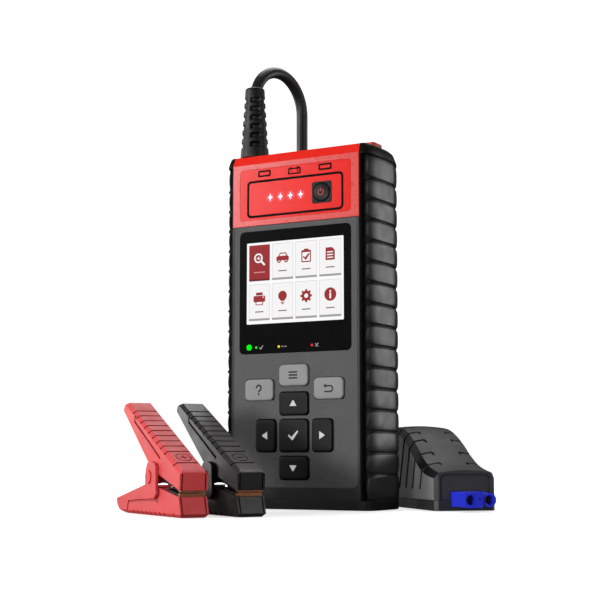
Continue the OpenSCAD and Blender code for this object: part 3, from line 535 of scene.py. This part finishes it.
def decal(name, shapes, y, mat, body, t=0.05, slot=None, **kw):
    """Thin print on the front: shapes is a list of outlines, each a loop or [loop, hole, ...]. Its outer face is at y - t."""
    parts = []
    for i, s in enumerate(shapes):
        loops = s if isinstance(s[0][0], (tuple, list)) else [s]
        parts.append(slab_data(loops, [(0, y - t - 0.002 * (i % 5)), (0, y + 0.05)]))
    return joined(name, parts, mat, body, slot=slot, weighted=False, angle=20, **kw)


# ------------------------------------------------------------------ CAD nodes that stay: finish and soft edges
SLOT_OF = {r["node"]: r["material_slot"] for r in frame["record"]["subparts"]}


def crease_group():
    """Shades every edge sharper than the given angle as a crisp one."""
    g = bpy.data.node_groups.new("crisp_edges", "GeometryNodeTree")
    g.interface.new_socket("Geometry", in_out="INPUT", socket_type="NodeSocketGeometry")
    g.interface.new_socket("Geometry", in_out="OUTPUT", socket_type="NodeSocketGeometry")
    ins, outs = g.nodes.new("NodeGroupInput"), g.nodes.new("NodeGroupOutput")
    faces, edges = g.nodes.new("GeometryNodeSetShadeSmooth"), g.nodes.new("GeometryNodeSetShadeSmooth")
    faces.domain, edges.domain = "FACE", "EDGE"
    turn = g.nodes.new("GeometryNodeInputMeshEdgeAngle")
    small = g.nodes.new("FunctionNodeCompare")
    small.data_type, small.operation = "FLOAT", "LESS_EQUAL"
    small.inputs[1].default_value = math.radians(33.0)
    g.links.new(ins.outputs[0], faces.inputs["Geometry"])
    g.links.new(faces.outputs[0], edges.inputs["Geometry"])
    g.links.new(turn.outputs["Unsigned Angle"], small.inputs[0])
    g.links.new(small.outputs[0], edges.inputs["Shade Smooth"])
    g.links.new(edges.outputs[0], outs.inputs[0])
    return g


CRISP = crease_group()


def dress(node, mat=None, bevel=0.0, seg=2, angle=32.0, free=False):
    o = NODES[node]
    m = mat or MT[SLOT_OF[node]]
    if o.data.materials:
        for i in range(len(o.data.materials)):
            o.data.materials[i] = m
    else:
        o.data.materials.append(m)
    w = o.modifiers.new("weld", "WELD")
    w.merge_threshold = 2e-6
    d = o.modifiers.new("planes", "DECIMATE")
    d.decimate_type = "DISSOLVE"
    d.angle_limit = math.radians(0.6)
    if bevel:
        b = o.modifiers.new("edges", "BEVEL")
        b.width = bevel * S
        b.segments = seg
        b.limit_method = "ANGLE"
        b.angle_limit = math.radians(angle)
        b.use_clamp_overlap = not free
        b.harden_normals = False
        b.miter_outer = "MITER_ARC"
    o.data.polygons.foreach_set("use_smooth", [True] * len(o.data.polygons))
    c = o.modifiers.new("crisp", "NODES")
    c.node_group = CRISP
    n = o.modifiers.new("normals", "WEIGHTED_NORMAL")
    n.keep_sharp = True
    return o


BEVELS = {
    "front_shell": 0.25, "keypad_fascia": 0.08, "red_cover": 0.3, "label_plate": 0.1, "rear_shell": 0.5, "base_foot": 0.5,
    "screen_lens": 0.15, "power_bezel": 0.25, "jump_socket": 0.2, "port_cover": 0.4,
    "obd_plug": 0.5, "module_base": 0.3, "module_cover": 0.18, "module_plug": 0.25, "module_inlets": 0.2,
    "red_clamp_base": 0.18, "red_clamp_lever": 0.09, "black_clamp_base": 0.18, "black_clamp_lever": 0.09,
}
# finely cut pieces: their bevel keeps its width beside the short edges
FREE = {"module_cover", "red_clamp_base", "red_clamp_lever", "black_clamp_base", "black_clamp_lever"}
REPLACED = {"left_bumper", "right_bumper", "lead_boot", "obd_lead", "obd_coil", "obd_tail", "power_button",
            "help_key", "menu_key", "back_key", "up_key", "down_key", "left_key", "right_key", "ok_key"}


# ------------------------------------------------------------------ diagnostic lead
def ease(a, b, x):
    t = min(1.0, max(0.0, (x - a) / (b - a)))
    return t * t * (3 - 2 * t)


def lead_route():
    """Up out of the boot, over in a loop, down behind the case, along the floor, round in a tied coil, into the plug."""
    p = []
    bx, by, lx, ly, fz = -33.0, -13.0, -25.0, 32.0, 4.0
    p += [(bx, by, z) for z in (214, 222, 230, 238)]
    mx, my, long = (bx + lx) / 2, (by + ly) / 2, math.hypot(lx - bx, ly - by)
    ex, ey, r = (lx - bx) / long, (ly - by) / long, long / 2
    for i in range(25):
        a = math.radians(180 - 7.5 * i)
        p.append((mx + ex * r * math.cos(a), my + ey * r * math.cos(a), 246 + r * math.sin(a)))
    p += [(lx, ly, z) for z in (236, 216, 196, 176, 156, 136, 116, 96, 76, 56, 40)]
    c, s = math.cos(math.radians(61)), math.sin(math.radians(61))
    for i in range(10):
        a = math.radians(10 * i)
        p.append((lx + c * 28 * (1 - math.cos(a)), ly + s * 28 * (1 - math.cos(a)), fz + 28 - 28 * math.sin(a)))
    p += [(lx + c * d, ly + s * d, fz) for d in (36, 45)]
    for i in range(101):
        a = -29.0 + 8.39 * i
        r = 42.55 - 7.05 * ease(205, 300, a) + 3.5 * ease(590, 650, a)
        z = 4.0 + 0.3 * ease(-29, 0, a) + 6.1 * ease(545, 622, a) + 0.95 * math.exp(-(((a - 628) / 34) ** 2))
        p.append((-36 + r * math.cos(math.radians(a)), 100 + r * math.sin(math.radians(a)), z))
    p += [(-43, 139, 10.5), (-50, 139, 11), (-57, 139, 11.7), (-64, 139, 12.3), (-71, 139, 12.5), (-78, 139, 12.5)]
    return p


def make_lead():
    pts = lead_route()
    cu = bpy.data.curves.new("diagnostic_lead", "CURVE")
    cu.dimensions = "3D"
    sp = cu.splines.new("POLY")
    sp.points.add(len(pts) - 1)
    for q, (x, y, z) in zip(sp.points, pts):
        q.co = (x * S, y * S, z * S, 1)
    sp.use_smooth = True
    cu.bevel_depth = 3.5 * S
    cu.bevel_resolution = 5
    cu.use_fill_caps = True
    cu.materials.append(MT["lead"])
    o = bpy.data.objects.new("diagnostic_lead", cu)
    SCENE.collection.objects.link(o)
    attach(o, "tester")
    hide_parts("obd_lead", "obd_coil", "obd_tail")


make_lead()


def make_boot():
    """Slotted strain relief: four short slots at each of six levels."""
    verts, faces, n = [], [], 96
    levels = [0.0, 0.3, 1.2, 3.0]
    for i in range(6):
        c = 7.8 + 5.6 * i
        levels += [c + d for d in (-2.2, -1.75, -1.45, -1.15, -0.85, -0.4, 0.4, 0.85, 1.15, 1.45, 1.75, 2.2)]
    levels += [38.6, 40.2, 41.8, 42.8, 43.3, 43.6]

    def radius(z, a):
        r = 8.7 - 2.9 * z / 43.6
        if z > 42.8:
            r -= 0.8 * ((z - 42.8) / 0.8) ** 2
        if z < 0.3:
            r -= 0.15
        best = 0.0
        for i in range(6):
            dz = abs(z - (7.8 + 5.6 * i))
            best = max(best, 1 - ease(0.75, 1.7, dz))
        da = min(abs((a - 35 - 90 * k + 180) % 360 - 180) for k in range(4))
        wide = math.degrees(3.2 / r)
        return r - (r - 4.75) * best * (1 - ease(wide - 5, wide + 3, da))

    for z in levels:
        for k in range(n):
            a = 360 * k / n
            r = radius(z, a)
            verts.append((-33 + r * math.cos(math.radians(a)), -13 + r * math.sin(math.radians(a)), 210.2 + z))
    for i in range(len(levels) - 1):
        for k in range(n):
            faces.append((i * n + k, i * n + (k + 1) % n, (i + 1) * n + (k + 1) % n, (i + 1) * n + k))
    top = len(levels) * n
    for r, z in ((3.55, 253.8), (3.55, 244.0)):
        for k in range(n):
            a = math.radians(360 * k / n)
            verts.append((-33 + r * math.cos(a), -13 + r * math.sin(a), z))
    for i in range(2):
        for k in range(n):
            a = top - n + i * n
            faces.append((a + k, a + (k + 1) % n, a + n + (k + 1) % n, a + n + k))
    faces.append(tuple(range(n)))
    faces.append(tuple(range(top + n, top + 2 * n)))
    return add("strain_relief_boot", verts, faces, BOOT, "tester", slot="lead", angle=50, replaces=["lead_boot"])


make_boot()


# ------------------------------------------------------------------ side grips
def make_grip(side):
    """Soft side grip: a rim against the case, a channel, fifteen grooves between swelling pads, a bevelled corner cap."""
    pad = [(42.9, -20.0), (42.35, -22.15), (42.75, -22.3), (43.2, -21.9), (43.5, -20.9), (43.8, -19.7), (44.25, -18.9), (44.75, -18.8), (45.15, -19.1),
           (45.5, -20.1), (45.95, -20.7), (46.5, -20.5), (47.05, -19.5), (47.6, -18.0), (48.15, -15.8), (48.6, -12.8), (48.95, -9.2), (49.25, -4.8),
           (49.42, 0.0), (49.5, 5.0), (49.5, 9.6), (49.25, 10.6), (47.5, 17.2), (45.9, 21.6), (45.0, 22.5), (43.4, 22.5)]
    cap = [(42.9, -20.0), (42.35, -22.15), (42.75, -22.3), (43.2, -22.25), (43.7, -22.2), (44.2, -22.1), (44.7, -22.0), (45.2, -21.85), (45.6, -21.65),
           (46.0, -21.4), (46.45, -21.0), (46.95, -20.3), (47.4, -19.3), (47.85, -17.6), (48.3, -15.2), (48.7, -12.2), (49.0, -8.8), (49.28, -4.8),
           (49.42, 0.0), (49.5, 5.0), (49.5, 10.6), (49.3, 11.4), (47.6, 17.4), (45.9, 21.6), (45.0, 22.5), (43.4, 22.5)]
    weight = [0, 0, 0, 0, 0, 0, 0.1, 0.35, 0.9, 1.35, 1.55, 1.5, 1.2, 0.9, 0.7, 0.6, 0.55, 0.55, 0.6, 0.65, 0.8, 0.85, 0.95, 0.95, 0.5, 0]
    front = [0] * 8 + [0.5, 0.9, 1.1, 1.1, 1.0, 0.8, 0.55, 0.35, 0.2, 0.1] + [0] * 8
    reach = [1.5] * 12 + [1.4, 1.3, 1.2, 1.1, 1.05] + [1.0] * 4 + [1.1, 1.2, 1.3, 1.4, 1.4]
    n = len(pad)
    nrm = []
    for i in range(n):
        a, b = Vector(pad[max(0, i - 1)]), Vector(pad[min(n - 1, i + 1)])
        d = (b - a).normalized()
        nrm.append((d.y, -d.x))
    grooves = [20 + 12.12 * k for k in range(15)]
    zs = {5.5, 5.75, 6.2, 8.0, 11.0, 194.0, 198.0, 201.0, 202.6, 203.2}
    for g in grooves:
        zs |= {g + o for o in (-2.8, -2.1, -1.6, -1.25, -0.95, -0.65, -0.3, 0.0, 0.3, 0.65, 0.95, 1.25, 1.6, 2.1, 2.8)}
    edges = [5.5] + grooves + [203.6]
    for a, b in zip(edges, edges[1:]):
        zs |= {(a + b) / 2 + o for o in (-2.2, 0.0, 2.2)}
    rows = []
    for z in sorted(zs):
        off = min(abs(z - g) for g in grooves)
        k = max(i for i, e in enumerate(edges[:-1]) if z >= e - 1e-9)
        u = (z - edges[k]) / (edges[k + 1] - edges[k])
        swell = abs(2 * u - 1) ** 2.3
        end = ease(202.4, 203.2, z) * 0.45 + (1 - ease(5.5, 6.2, z)) * 0.5
        row = []
        for (x, y), (nx, ny), w, c, f in zip(pad, nrm, weight, reach, front):
            d = min(1.0, w) * (0.6 * swell + end) + 0.7 * f * swell + w * max(0.0, 1 - (off / c) ** 1.4)
            row.append((x - nx * d, y - ny * d, z))
        rows.append(row)
    for z in (203.45, 203.8, 204.6, 205.6, 206.6, 207.6, 208.5, 209.2, 209.7, 210.0):
        u = max(0.0, (z - 204.2) / 5.8)
        k = 1 - 0.42 * (1 - math.sqrt(max(0.0, 1 - u * u)))
        low = 0.4 * (1 - ease(203.45, 203.8, z))
        lean = 2.3 * max(0.0, u - 0.1)
        row = []
        for x, y in cap:
            if x > 43.4:
                x = 43.4 + (x - 43.4) * k - low * min(1.0, (x - 43.4) / 2)
            if y < -17:
                y += lean * (1 if x > 42.6 else 0.8) + low * 0.5
            # the top falls away towards the back
            drop = 9.0 * u * (max(0.0, y - 7.0) / 15.5) ** 1.6
            row.append((x, y, z - drop))
        rows.append(row)
    verts = [(side * x, y, z) for row in rows for x, y, z in row]
    faces = []
    for i in range(len(rows) - 1):
        for k in range(n):
            faces.append((i * n + k, i * n + (k + 1) % n, (i + 1) * n + (k + 1) % n, (i + 1) * n + k))
    faces.append(tuple(range(n)))
    faces.append(tuple(range((len(rows) - 1) * n, len(rows) * n)))
    name = "right_grip" if side > 0 else "left_grip"
    o = add(name, verts, faces, MT["grip"], "tester", slot="grip", angle=50, replaces=["right_bumper" if side > 0 else "left_bumper"])
    # the rim, the channel beside the pads and the cap take a near-black colour; in the channel it is painted shade
    o.data.materials.append(GRIP_BLACK_AND_SHADE)
    for p in o.data.polygons:
        x, y, z = p.center / S
        if p.index // n >= len(rows) - 11 or (y < -17 and abs(x) < (45.4 if side > 0 else 44.4)):
            p.material_index = 1
    return o


make_grip(1)
make_grip(-1)


# ------------------------------------------------------------------ keys
KEYS = {
    "help_key": (-23, 69, 19.2, 12.5, 2.2), "menu_key": (0, 77.1, 19.2, 12.5, 2.2), "back_key": (23, 69, 19.2, 12.5, 2.2),
    "up_key": (0, 60.7, 19.2, 13.4, 2.0), "down_key": (0, 23.7, 19.2, 13.4, 2.0), "left_key": (-18.7, 42.3, 13.4, 18.8, 2.0),
    "right_key": (18.7, 42.3, 13.4, 18.8, 2.0), "ok_key": (0, 42.3, 19.2, 18.8, 2.0),
}
KEY_TOP = F - 1.46


def make_keys():
    prof = [(-0.8, F + 3.5), (-0.8, F + 2.75), (0.0, F + 2.7), (0.0, F - 0.45), (0.07, F - 0.8), (0.25, F - 1.1), (0.55, F - 1.3), (0.95, F - 1.39), (1.5, F - 1.42), (2.6, KEY_TOP)]
    for name, (x, z, w, h, r) in KEYS.items():
        kind = "grey_key" if name in ("help_key", "menu_key", "back_key") else "dark_key"
        slab(name + "_cap", [rr(x, z, w, h, r + 0.6, 8)], prof, MT[kind], name, slot=kind, angle=50, replaces=[name])
    up = [(-2.3, -1.5), (2.3, -1.5), (0.35, 1.75), (-0.35, 1.75)]
    turn = {"up_key": (1, 0), "down_key": (-1, 0), "left_key": (0, 1), "right_key": (0, -1)}
    for name, (c, s) in turn.items():
        x, z = KEYS[name][:2]
        loop = [(x + c * u - s * v, z + s * u + c * v) for u, v in up]
        decal(name + "_arrow", [loop], KEY_TOP, PRINT_WHITE_PAINTED_GLOW, name, slot="grey_key")
    # confirm: a tick
    x, z = KEYS["ok_key"][:2]
    decal("ok_key_tick", [bar([(x - 2.6, z - 0.1), (x - 0.7, z - 2.0), (x + 2.9, z + 2.2)], 1.0)], KEY_TOP, PRINT_WHITE_PAINTED_GLOW, "ok_key", slot="grey_key")
    # help: a question mark
    x, z = KEYS["help_key"][:2]
    q = arc_pts(x, z + 1.15, 1.55, 170, -50, 14) + [(x + 0.35, z - 0.55), (x, z - 1.15)]
    decal("help_key_mark", [bar(q, 0.95), circle(x, z - 2.5, 0.62, 16)], KEY_TOP, PRINT_DARK, "help_key", slot="dark_key")
    # menu: three lines
    x, z = KEYS["menu_key"][:2]
    decal("menu_key_lines", [bar([(x - 2.5, z + d), (x + 2.5, z + d)], 0.9) for d in (-1.7, 0.0, 1.7)], KEY_TOP, PRINT_DARK, "menu_key", slot="dark_key")
    # back: an arrow that turns round
    x, z = KEYS["back_key"][:2]
    path = [(x - 2.2, z - 2.0), (x + 1.2, z - 2.0)] + arc_pts(x + 1.2, z - 0.35, 1.65, -90, 90, 10) + [(x - 1.6, z + 1.3)]
    decal("back_key_arrow", [bar(path, 0.85), [(x - 3.2, z + 1.3), (x - 1.4, z + 0.1), (x - 1.4, z + 2.5)]], KEY_TOP, PRINT_DARK, "back_key", slot="dark_key")


make_keys()


def make_power():
    x, z = 18.3, 183.2
    prof = [(-0.9, F + 3.8), (-0.9, F + 3.05), (0, F + 3.0), (0, F - 0.25), (0.1, F - 0.5), (0.35, F - 0.68), (0.9, F - 0.86), (1.8, F - 1.03), (3.0, F - 1.14), (4.2, F - 1.18)]
    slab("power_button_cap", [circle(x, z, 5.4, 56)], prof, MT["dark_gloss"], "power_button", slot="dark_gloss", angle=60, replaces=["power_button"])
    ring = bar(arc_pts(x, z - 0.15, 1.75, 122, 418, 26), 0.52)
    stem = bar([(x, z + 0.5), (x, z + 2.15)], 0.52)
    decal("power_symbol", [ring, stem], F - 1.16, RED_GLOW, "power_button", t=0.08, slot="red_label")


make_power()


# ------------------------------------------------------------------ prints on the red cover and the glass
def make_label_print():
    y = F + 0.08
    line = [rr(0, 183.1, 65.0, 22.5, 2.9, 8), hole(rr(0, 183.1, 62.2, 19.7, 1.6, 8))]
    tabs = [[rr(s * 20.5, 198.15, 8.8, 3.9, 0.9), hole(rr(s * 20.5, 198.15, 6.7, 1.8, 0.3))] for s in (-1, 1)]
    x, z = 0.0, 197.9
    battery = [
        [rr(x, z - 0.25, 8.6, 3.8, 0.5), hole(rr(x, z - 0.25, 6.9, 2.1, 0.2))],
        rr(x - 2.4, z + 1.85, 1.5, 0.8, 0.15), rr(x + 2.4, z + 1.85, 1.5, 0.8, 0.15),
        bar([(x - 3.0, z - 0.2), (x - 1.6, z - 0.2)], 0.42), bar([(x + 1.6, z - 0.2), (x + 3.0, z - 0.2)], 0.42), bar([(x + 2.3, z - 0.9), (x + 2.3, z + 0.5)], 0.42),
    ]
    decal("label_lines", [line] + tabs + battery, y, PRINT_BLACK, "tester", slot="dark_gloss")
    # painted glint: a four-pointed star of light round each lamp, with a glowing core; the star arms are no lamp
    stars = []
    for cx, cz in LAMPS:
        pts = []
        for i in range(8):
            r = (1.9 if i % 4 == 0 else 2.6) if i % 2 == 0 else 0.72
            a = math.radians(45 * i)
            pts.append((cx + r * math.cos(a), cz + r * math.sin(a)))
        stars += [pts, circle(cx, cz, 0.85, 20)]
    decal("lamp_cores_and_painted_glints", stars, F + 0.02, PAINTED_GLINT, "tester", slot="white_lamp")


make_label_print()


def icon_search(x, z):
    a = math.radians(-45)
    return [[circle(x - 0.7, z + 0.7, 2.9, 32), hole(circle(x - 0.7, z + 0.7, 2.0, 32))],
            bar([(x - 0.7 + 2.9 * math.cos(a), z + 0.7 + 2.9 * math.sin(a)), (x + 3.3, z - 3.3)], 1.2),
            bar([(x - 1.9, z + 0.5), (x - 1.1, z + 0.5), (x - 0.6, z + 1.6), (x - 0.1, z - 0.3), (x + 0.6, z + 0.7)], 0.4)]


def icon_car(x, z):
    body = [(x - 4.2, z - 1.7), (x + 4.2, z - 1.7), (x + 4.2, z + 0.4), (x + 3.3, z + 0.9), (x + 2.3, z + 2.9), (x - 1.8, z + 2.9), (x - 3.0, z + 0.9), (x - 4.2, z + 0.5)]
    win = [(x - 2.2, z + 1.0), (x - 1.45, z + 2.25), (x + 1.85, z + 2.25), (x + 2.45, z + 1.0)]
    return [[body, hole(win)], [circle(x - 2.4, z - 1.9, 1.25, 20), hole(circle(x - 2.4, z - 1.9, 0.5, 14))], [circle(x + 2.4, z - 1.9, 1.25, 20), hole(circle(x + 2.4, z - 1.9, 0.5, 14))]]


def icon_clip(x, z):
    return [[rr(x, z - 0.3, 6.4, 7.2, 0.7), hole(rr(x, z - 0.6, 5.0, 5.2, 0.4))], rr(x, z + 3.3, 3.0, 1.5, 0.4),
            bar([(x - 1.7, z - 0.7), (x - 0.5, z - 1.9), (x + 1.8, z + 0.9)], 0.9)]


def icon_page(x, z):
    page = [(x - 3.0, z - 3.7), (x + 3.0, z - 3.7), (x + 3.0, z + 1.9), (x + 1.2, z + 3.7), (x - 3.0, z + 3.7)]
    cuts = [hole(rr(x - 0.1, z + d, 4.0, 0.7, 0.2, 3)) for d in (-2.2, -0.6, 1.0)]
    return [[page] + cuts]


def icon_print(x, z):
    return [rr(x, z + 2.9, 4.6, 1.7, 0.3), [rr(x, z - 0.1, 8.0, 3.7, 0.7), hole(circle(x + 2.7, z + 0.8, 0.42, 12))],
            [rr(x, z - 2.4, 5.2, 2.8, 0.3), hole(rr(x, z - 2.5, 4.0, 1.6, 0.2, 3))]]


def icon_bulb(x, z):
    glass = arc_pts(x, z + 1.0, 2.9, -52, 232, 26)
    return [glass + [(x - 1.2, z - 2.1), (x + 1.2, z - 2.1)], bar([(x - 1.0, z - 2.9), (x + 1.0, z - 2.9)], 0.6), bar([(x - 0.5, z - 3.8), (x + 0.5, z - 3.8)], 0.6)]


def icon_gear(x, z):
    pts = []
    for i in range(8):
        for da, r in ((-13, 3.0), (-9, 3.9), (9, 3.9), (13, 3.0)):
            a = math.radians(45 * i + da)
            pts.append((x + r * math.cos(a), z + r * math.sin(a)))
    return [[pts, hole(circle(x, z, 1.3, 24))]]


def icon_info(x, z):
    i_dot, i_bar = hole(circle(x, z + 1.8, 0.6, 14)), hole(rr(x, z - 0.8, 1.1, 3.4, 0.3, 4))
    return [[circle(x, z, 3.9, 40), i_dot, i_bar]]


def make_screen():
    y = F + 0.12
    decal("screen_picture", [rr(0, 132.3, 64.8, 48.6, 0.5, 4)], y, UI_WHITE, "tester", t=0.03, slot="lcd")
    icons = [icon_search, icon_car, icon_clip, icon_page, icon_print, icon_bulb, icon_gear, icon_info]
    tiles, frames, feet, shapes, words = [], [], [], [], []
    for k in range(8):
        x = -32.4 + 1.5 + 7.15 + (k % 4) * 15.83
        top = 155.2 if k < 4 else 131.6
        w, h, foot = 14.3, 21.6, 1.25
        mid = top - h / 2
        if k == 0:
            decal("screen_tile_first", [rr(x, mid, w, h, 0.5, 4)], y, UI_RED, "tester", t=0.05, slot="lcd")
            decal("screen_tile_first_foot", [rr(x, top - h + foot / 2, w, foot, 0.25, 4)], y, UI_RED_LOW, "tester", t=0.062, slot="lcd")
            decal("screen_icon_first", icons[0](x, top - 8.6), y, UI_WHITE, "tester", t=0.07, slot="lcd")
            decal("screen_word_first", [bar([(x - 3.6, top - 16.4), (x + 3.6, top - 16.4)], 0.7)], y, UI_PINK, "tester", t=0.07, slot="lcd")
            continue
        tiles.append(rr(x, mid, w, h, 0.5, 4))
        frames.append([rr(x, mid, w + 0.1, h + 0.1, 0.5, 4), hole(rr(x, mid, w - 0.45, h - 0.45, 0.4, 4))])
        feet.append(rr(x, top - h + foot / 2, w, foot, 0.3, 4))
        shapes += icons[k](x, top - 8.6)
        words.append(bar([(x - 2.6, top - 16.4), (x + 2.6, top - 16.4)], 0.7))
    decal("screen_tiles", tiles, y, UI_TILE, "tester", t=0.045, slot="lcd")
    decal("screen_tile_frames", frames, y, UI_LINE, "tester", t=0.058, slot="lcd")
    decal("screen_tile_feet", feet, y, UI_SHADE, "tester", t=0.072, slot="lcd")
    decal("screen_icons", shapes, y, UI_RED, "tester", t=0.06, slot="lcd")
    decal("screen_words", words, y, UI_TEXT, "tester", t=0.06, slot="lcd")
    # status key under the screen: a dot and a sign for each state
    decal("status_dot_green", [circle(-25.8, 94.1, 0.78, 18)], y, DOT_GREEN, "tester", slot="green_lamp")
    decal("status_dot_yellow", [circle(-10.4, 94.1, 0.8, 18)], y, DOT_YELLOW, "tester", slot="white_lamp")
    decal("status_dot_red", [circle(11.7, 94.1, 0.8, 18)], y, DOT_RED, "tester", slot="red_label")
    signs = [bar([(-23.6, 94.1), (-22.8, 93.2), (-21.2, 95.1)], 0.42)]
    signs += [circle(-8.2 + 1.3 * i, 94.1, 0.36, 12) for i in range(3)]
    signs += [bar([(14.0, 93.3), (15.7, 95.0)], 0.42), bar([(14.0, 95.0), (15.7, 93.3)], 0.42)]
    decal("status_signs", signs, y, PRINT_PALE, "tester", slot="grey_key")


make_screen()

for node in NODES:
    if node.endswith("_jaw"):
        dress(node, JAW[node.split("_")[0]], bevel=0.1)
    elif node not in REPLACED:
        dress(node, bevel=BEVELS.get(node, 0.0), angle=20.0 if node in ("module_cover", "red_cover") else 32.0, free=node in FREE)


# ------------------------------------------------------------------ floor and light
def make_stage():
    """Pale floor inside a plain white round wall."""
    for name, base, glow in (("floor", 0.80, 0.0), ("backdrop", 0.80, 1.0)):
        me = bpy.data.meshes.new(name)
        bm = bmesh.new()
        if glow:
            n, r, top = 96, 3.0, 6.0
            low, high = [[bm.verts.new((r * math.cos(2 * math.pi * k / n), r * math.sin(2 * math.pi * k / n), z)) for k in range(n)] for z in (0.0, top)]
            for k in range(n):
                bm.faces.new((low[(k + 1) % n], low[k], high[k], high[(k + 1) % n]))
        else:
            bmesh.ops.create_grid(bm, x_segments=4, y_segments=4, size=3.2)
        bm.to_mesh(me)
        bm.free()
        at = (0, 0, -0.0002)
        o = bpy.data.objects.new(name, me)
        o.location = at
        SCENE.collection.objects.link(o)
        m = Mat(name + "_pale")
        tone = m.mix(m.remap(m.noise(3.0, 2.0), 0, 1), (base * 0.99,) * 3, (base * 1.01,) * 3)
        m.link(tone, m.b.inputs["Base Color"])
        m.set("Roughness", 0.7)
        m.set("Specular IOR Level", 0.1)
        m.set("Emission Color", (1, 1, 1, 1))
        if glow:
            m.set("Emission Strength", glow)
        else:
            # the floor's glow rises from 0.62 near the object to 1.0 away from it: the dimmer floor round the object is
            # painted shade, and away from it the floor runs into the white of the wall
            away = m.math("SQRT", m.math("ADD", m.math("MULTIPLY", m.axis(0), m.axis(0)), m.math("MULTIPLY", m.axis(1), m.axis(1))))
            m.link(m.remap(away, 0.62, 1.0, 0.1, 0.6), m.b.inputs["Emission Strength"])
        me.materials.append(m.m)
        o.visible_diffuse = False
        o.visible_glossy = False
        o.visible_shadow = not glow


def area(name, at, to, size, power, color=(1, 1, 1)):
    d = bpy.data.lights.new(name, "AREA")
    d.shape = "RECTANGLE"
    d.size, d.size_y = size
    d.energy = power
    d.color = color
    o = bpy.data.objects.new(name, d)
    o.location = at
    o.rotation_euler = (Vector(to) - Vector(at)).to_track_quat("-Z", "Y").to_euler()
    SCENE.collection.objects.link(o)


def make_light():
    w = bpy.data.worlds.new("studio")
    w.use_nodes = True
    w.node_tree.nodes["Background"].inputs[0].default_value = (1, 1, 1, 1)
    w.node_tree.nodes["Background"].inputs[1].default_value = 0.045
    SCENE.world = w
    area("key", (-0.12, -1.0, 0.09), (0.0, 0, 0.10), (0.18, 0.16), 4.7)
    area("fill", (0.15, -1.0, 0.13), (0.0, 0, 0.10), (0.2, 0.2), 1.2)
    area("front", (-0.72, -0.755, 0.46), (-0.02, 0, 0.14), (0.45, 0.4), 5.4)
    area("left", (-0.90, 0.06, 0.30), (-0.02, -0.03, 0.10), (0.5, 0.6), 2.3)
    area("right", (0.55, 0.77, 0.25), (0.04, 0, 0.10), (0.32, 0.52), 1.75)
    area("rim", (0.92, -0.12, 0.36), (0.04, -0.04, 0.10), (0.4, 0.4), 1.1)
    area("top", (-0.1, 0.42, 0.95), (0, 0, 0.05), (0.7, 0.6), 5.8)
    v = SCENE.view_settings
    v.view_transform = "Standard"
    v.look = "None"
    v.exposure = 0.0
    v.gamma = 1.0


make_stage()
make_light()
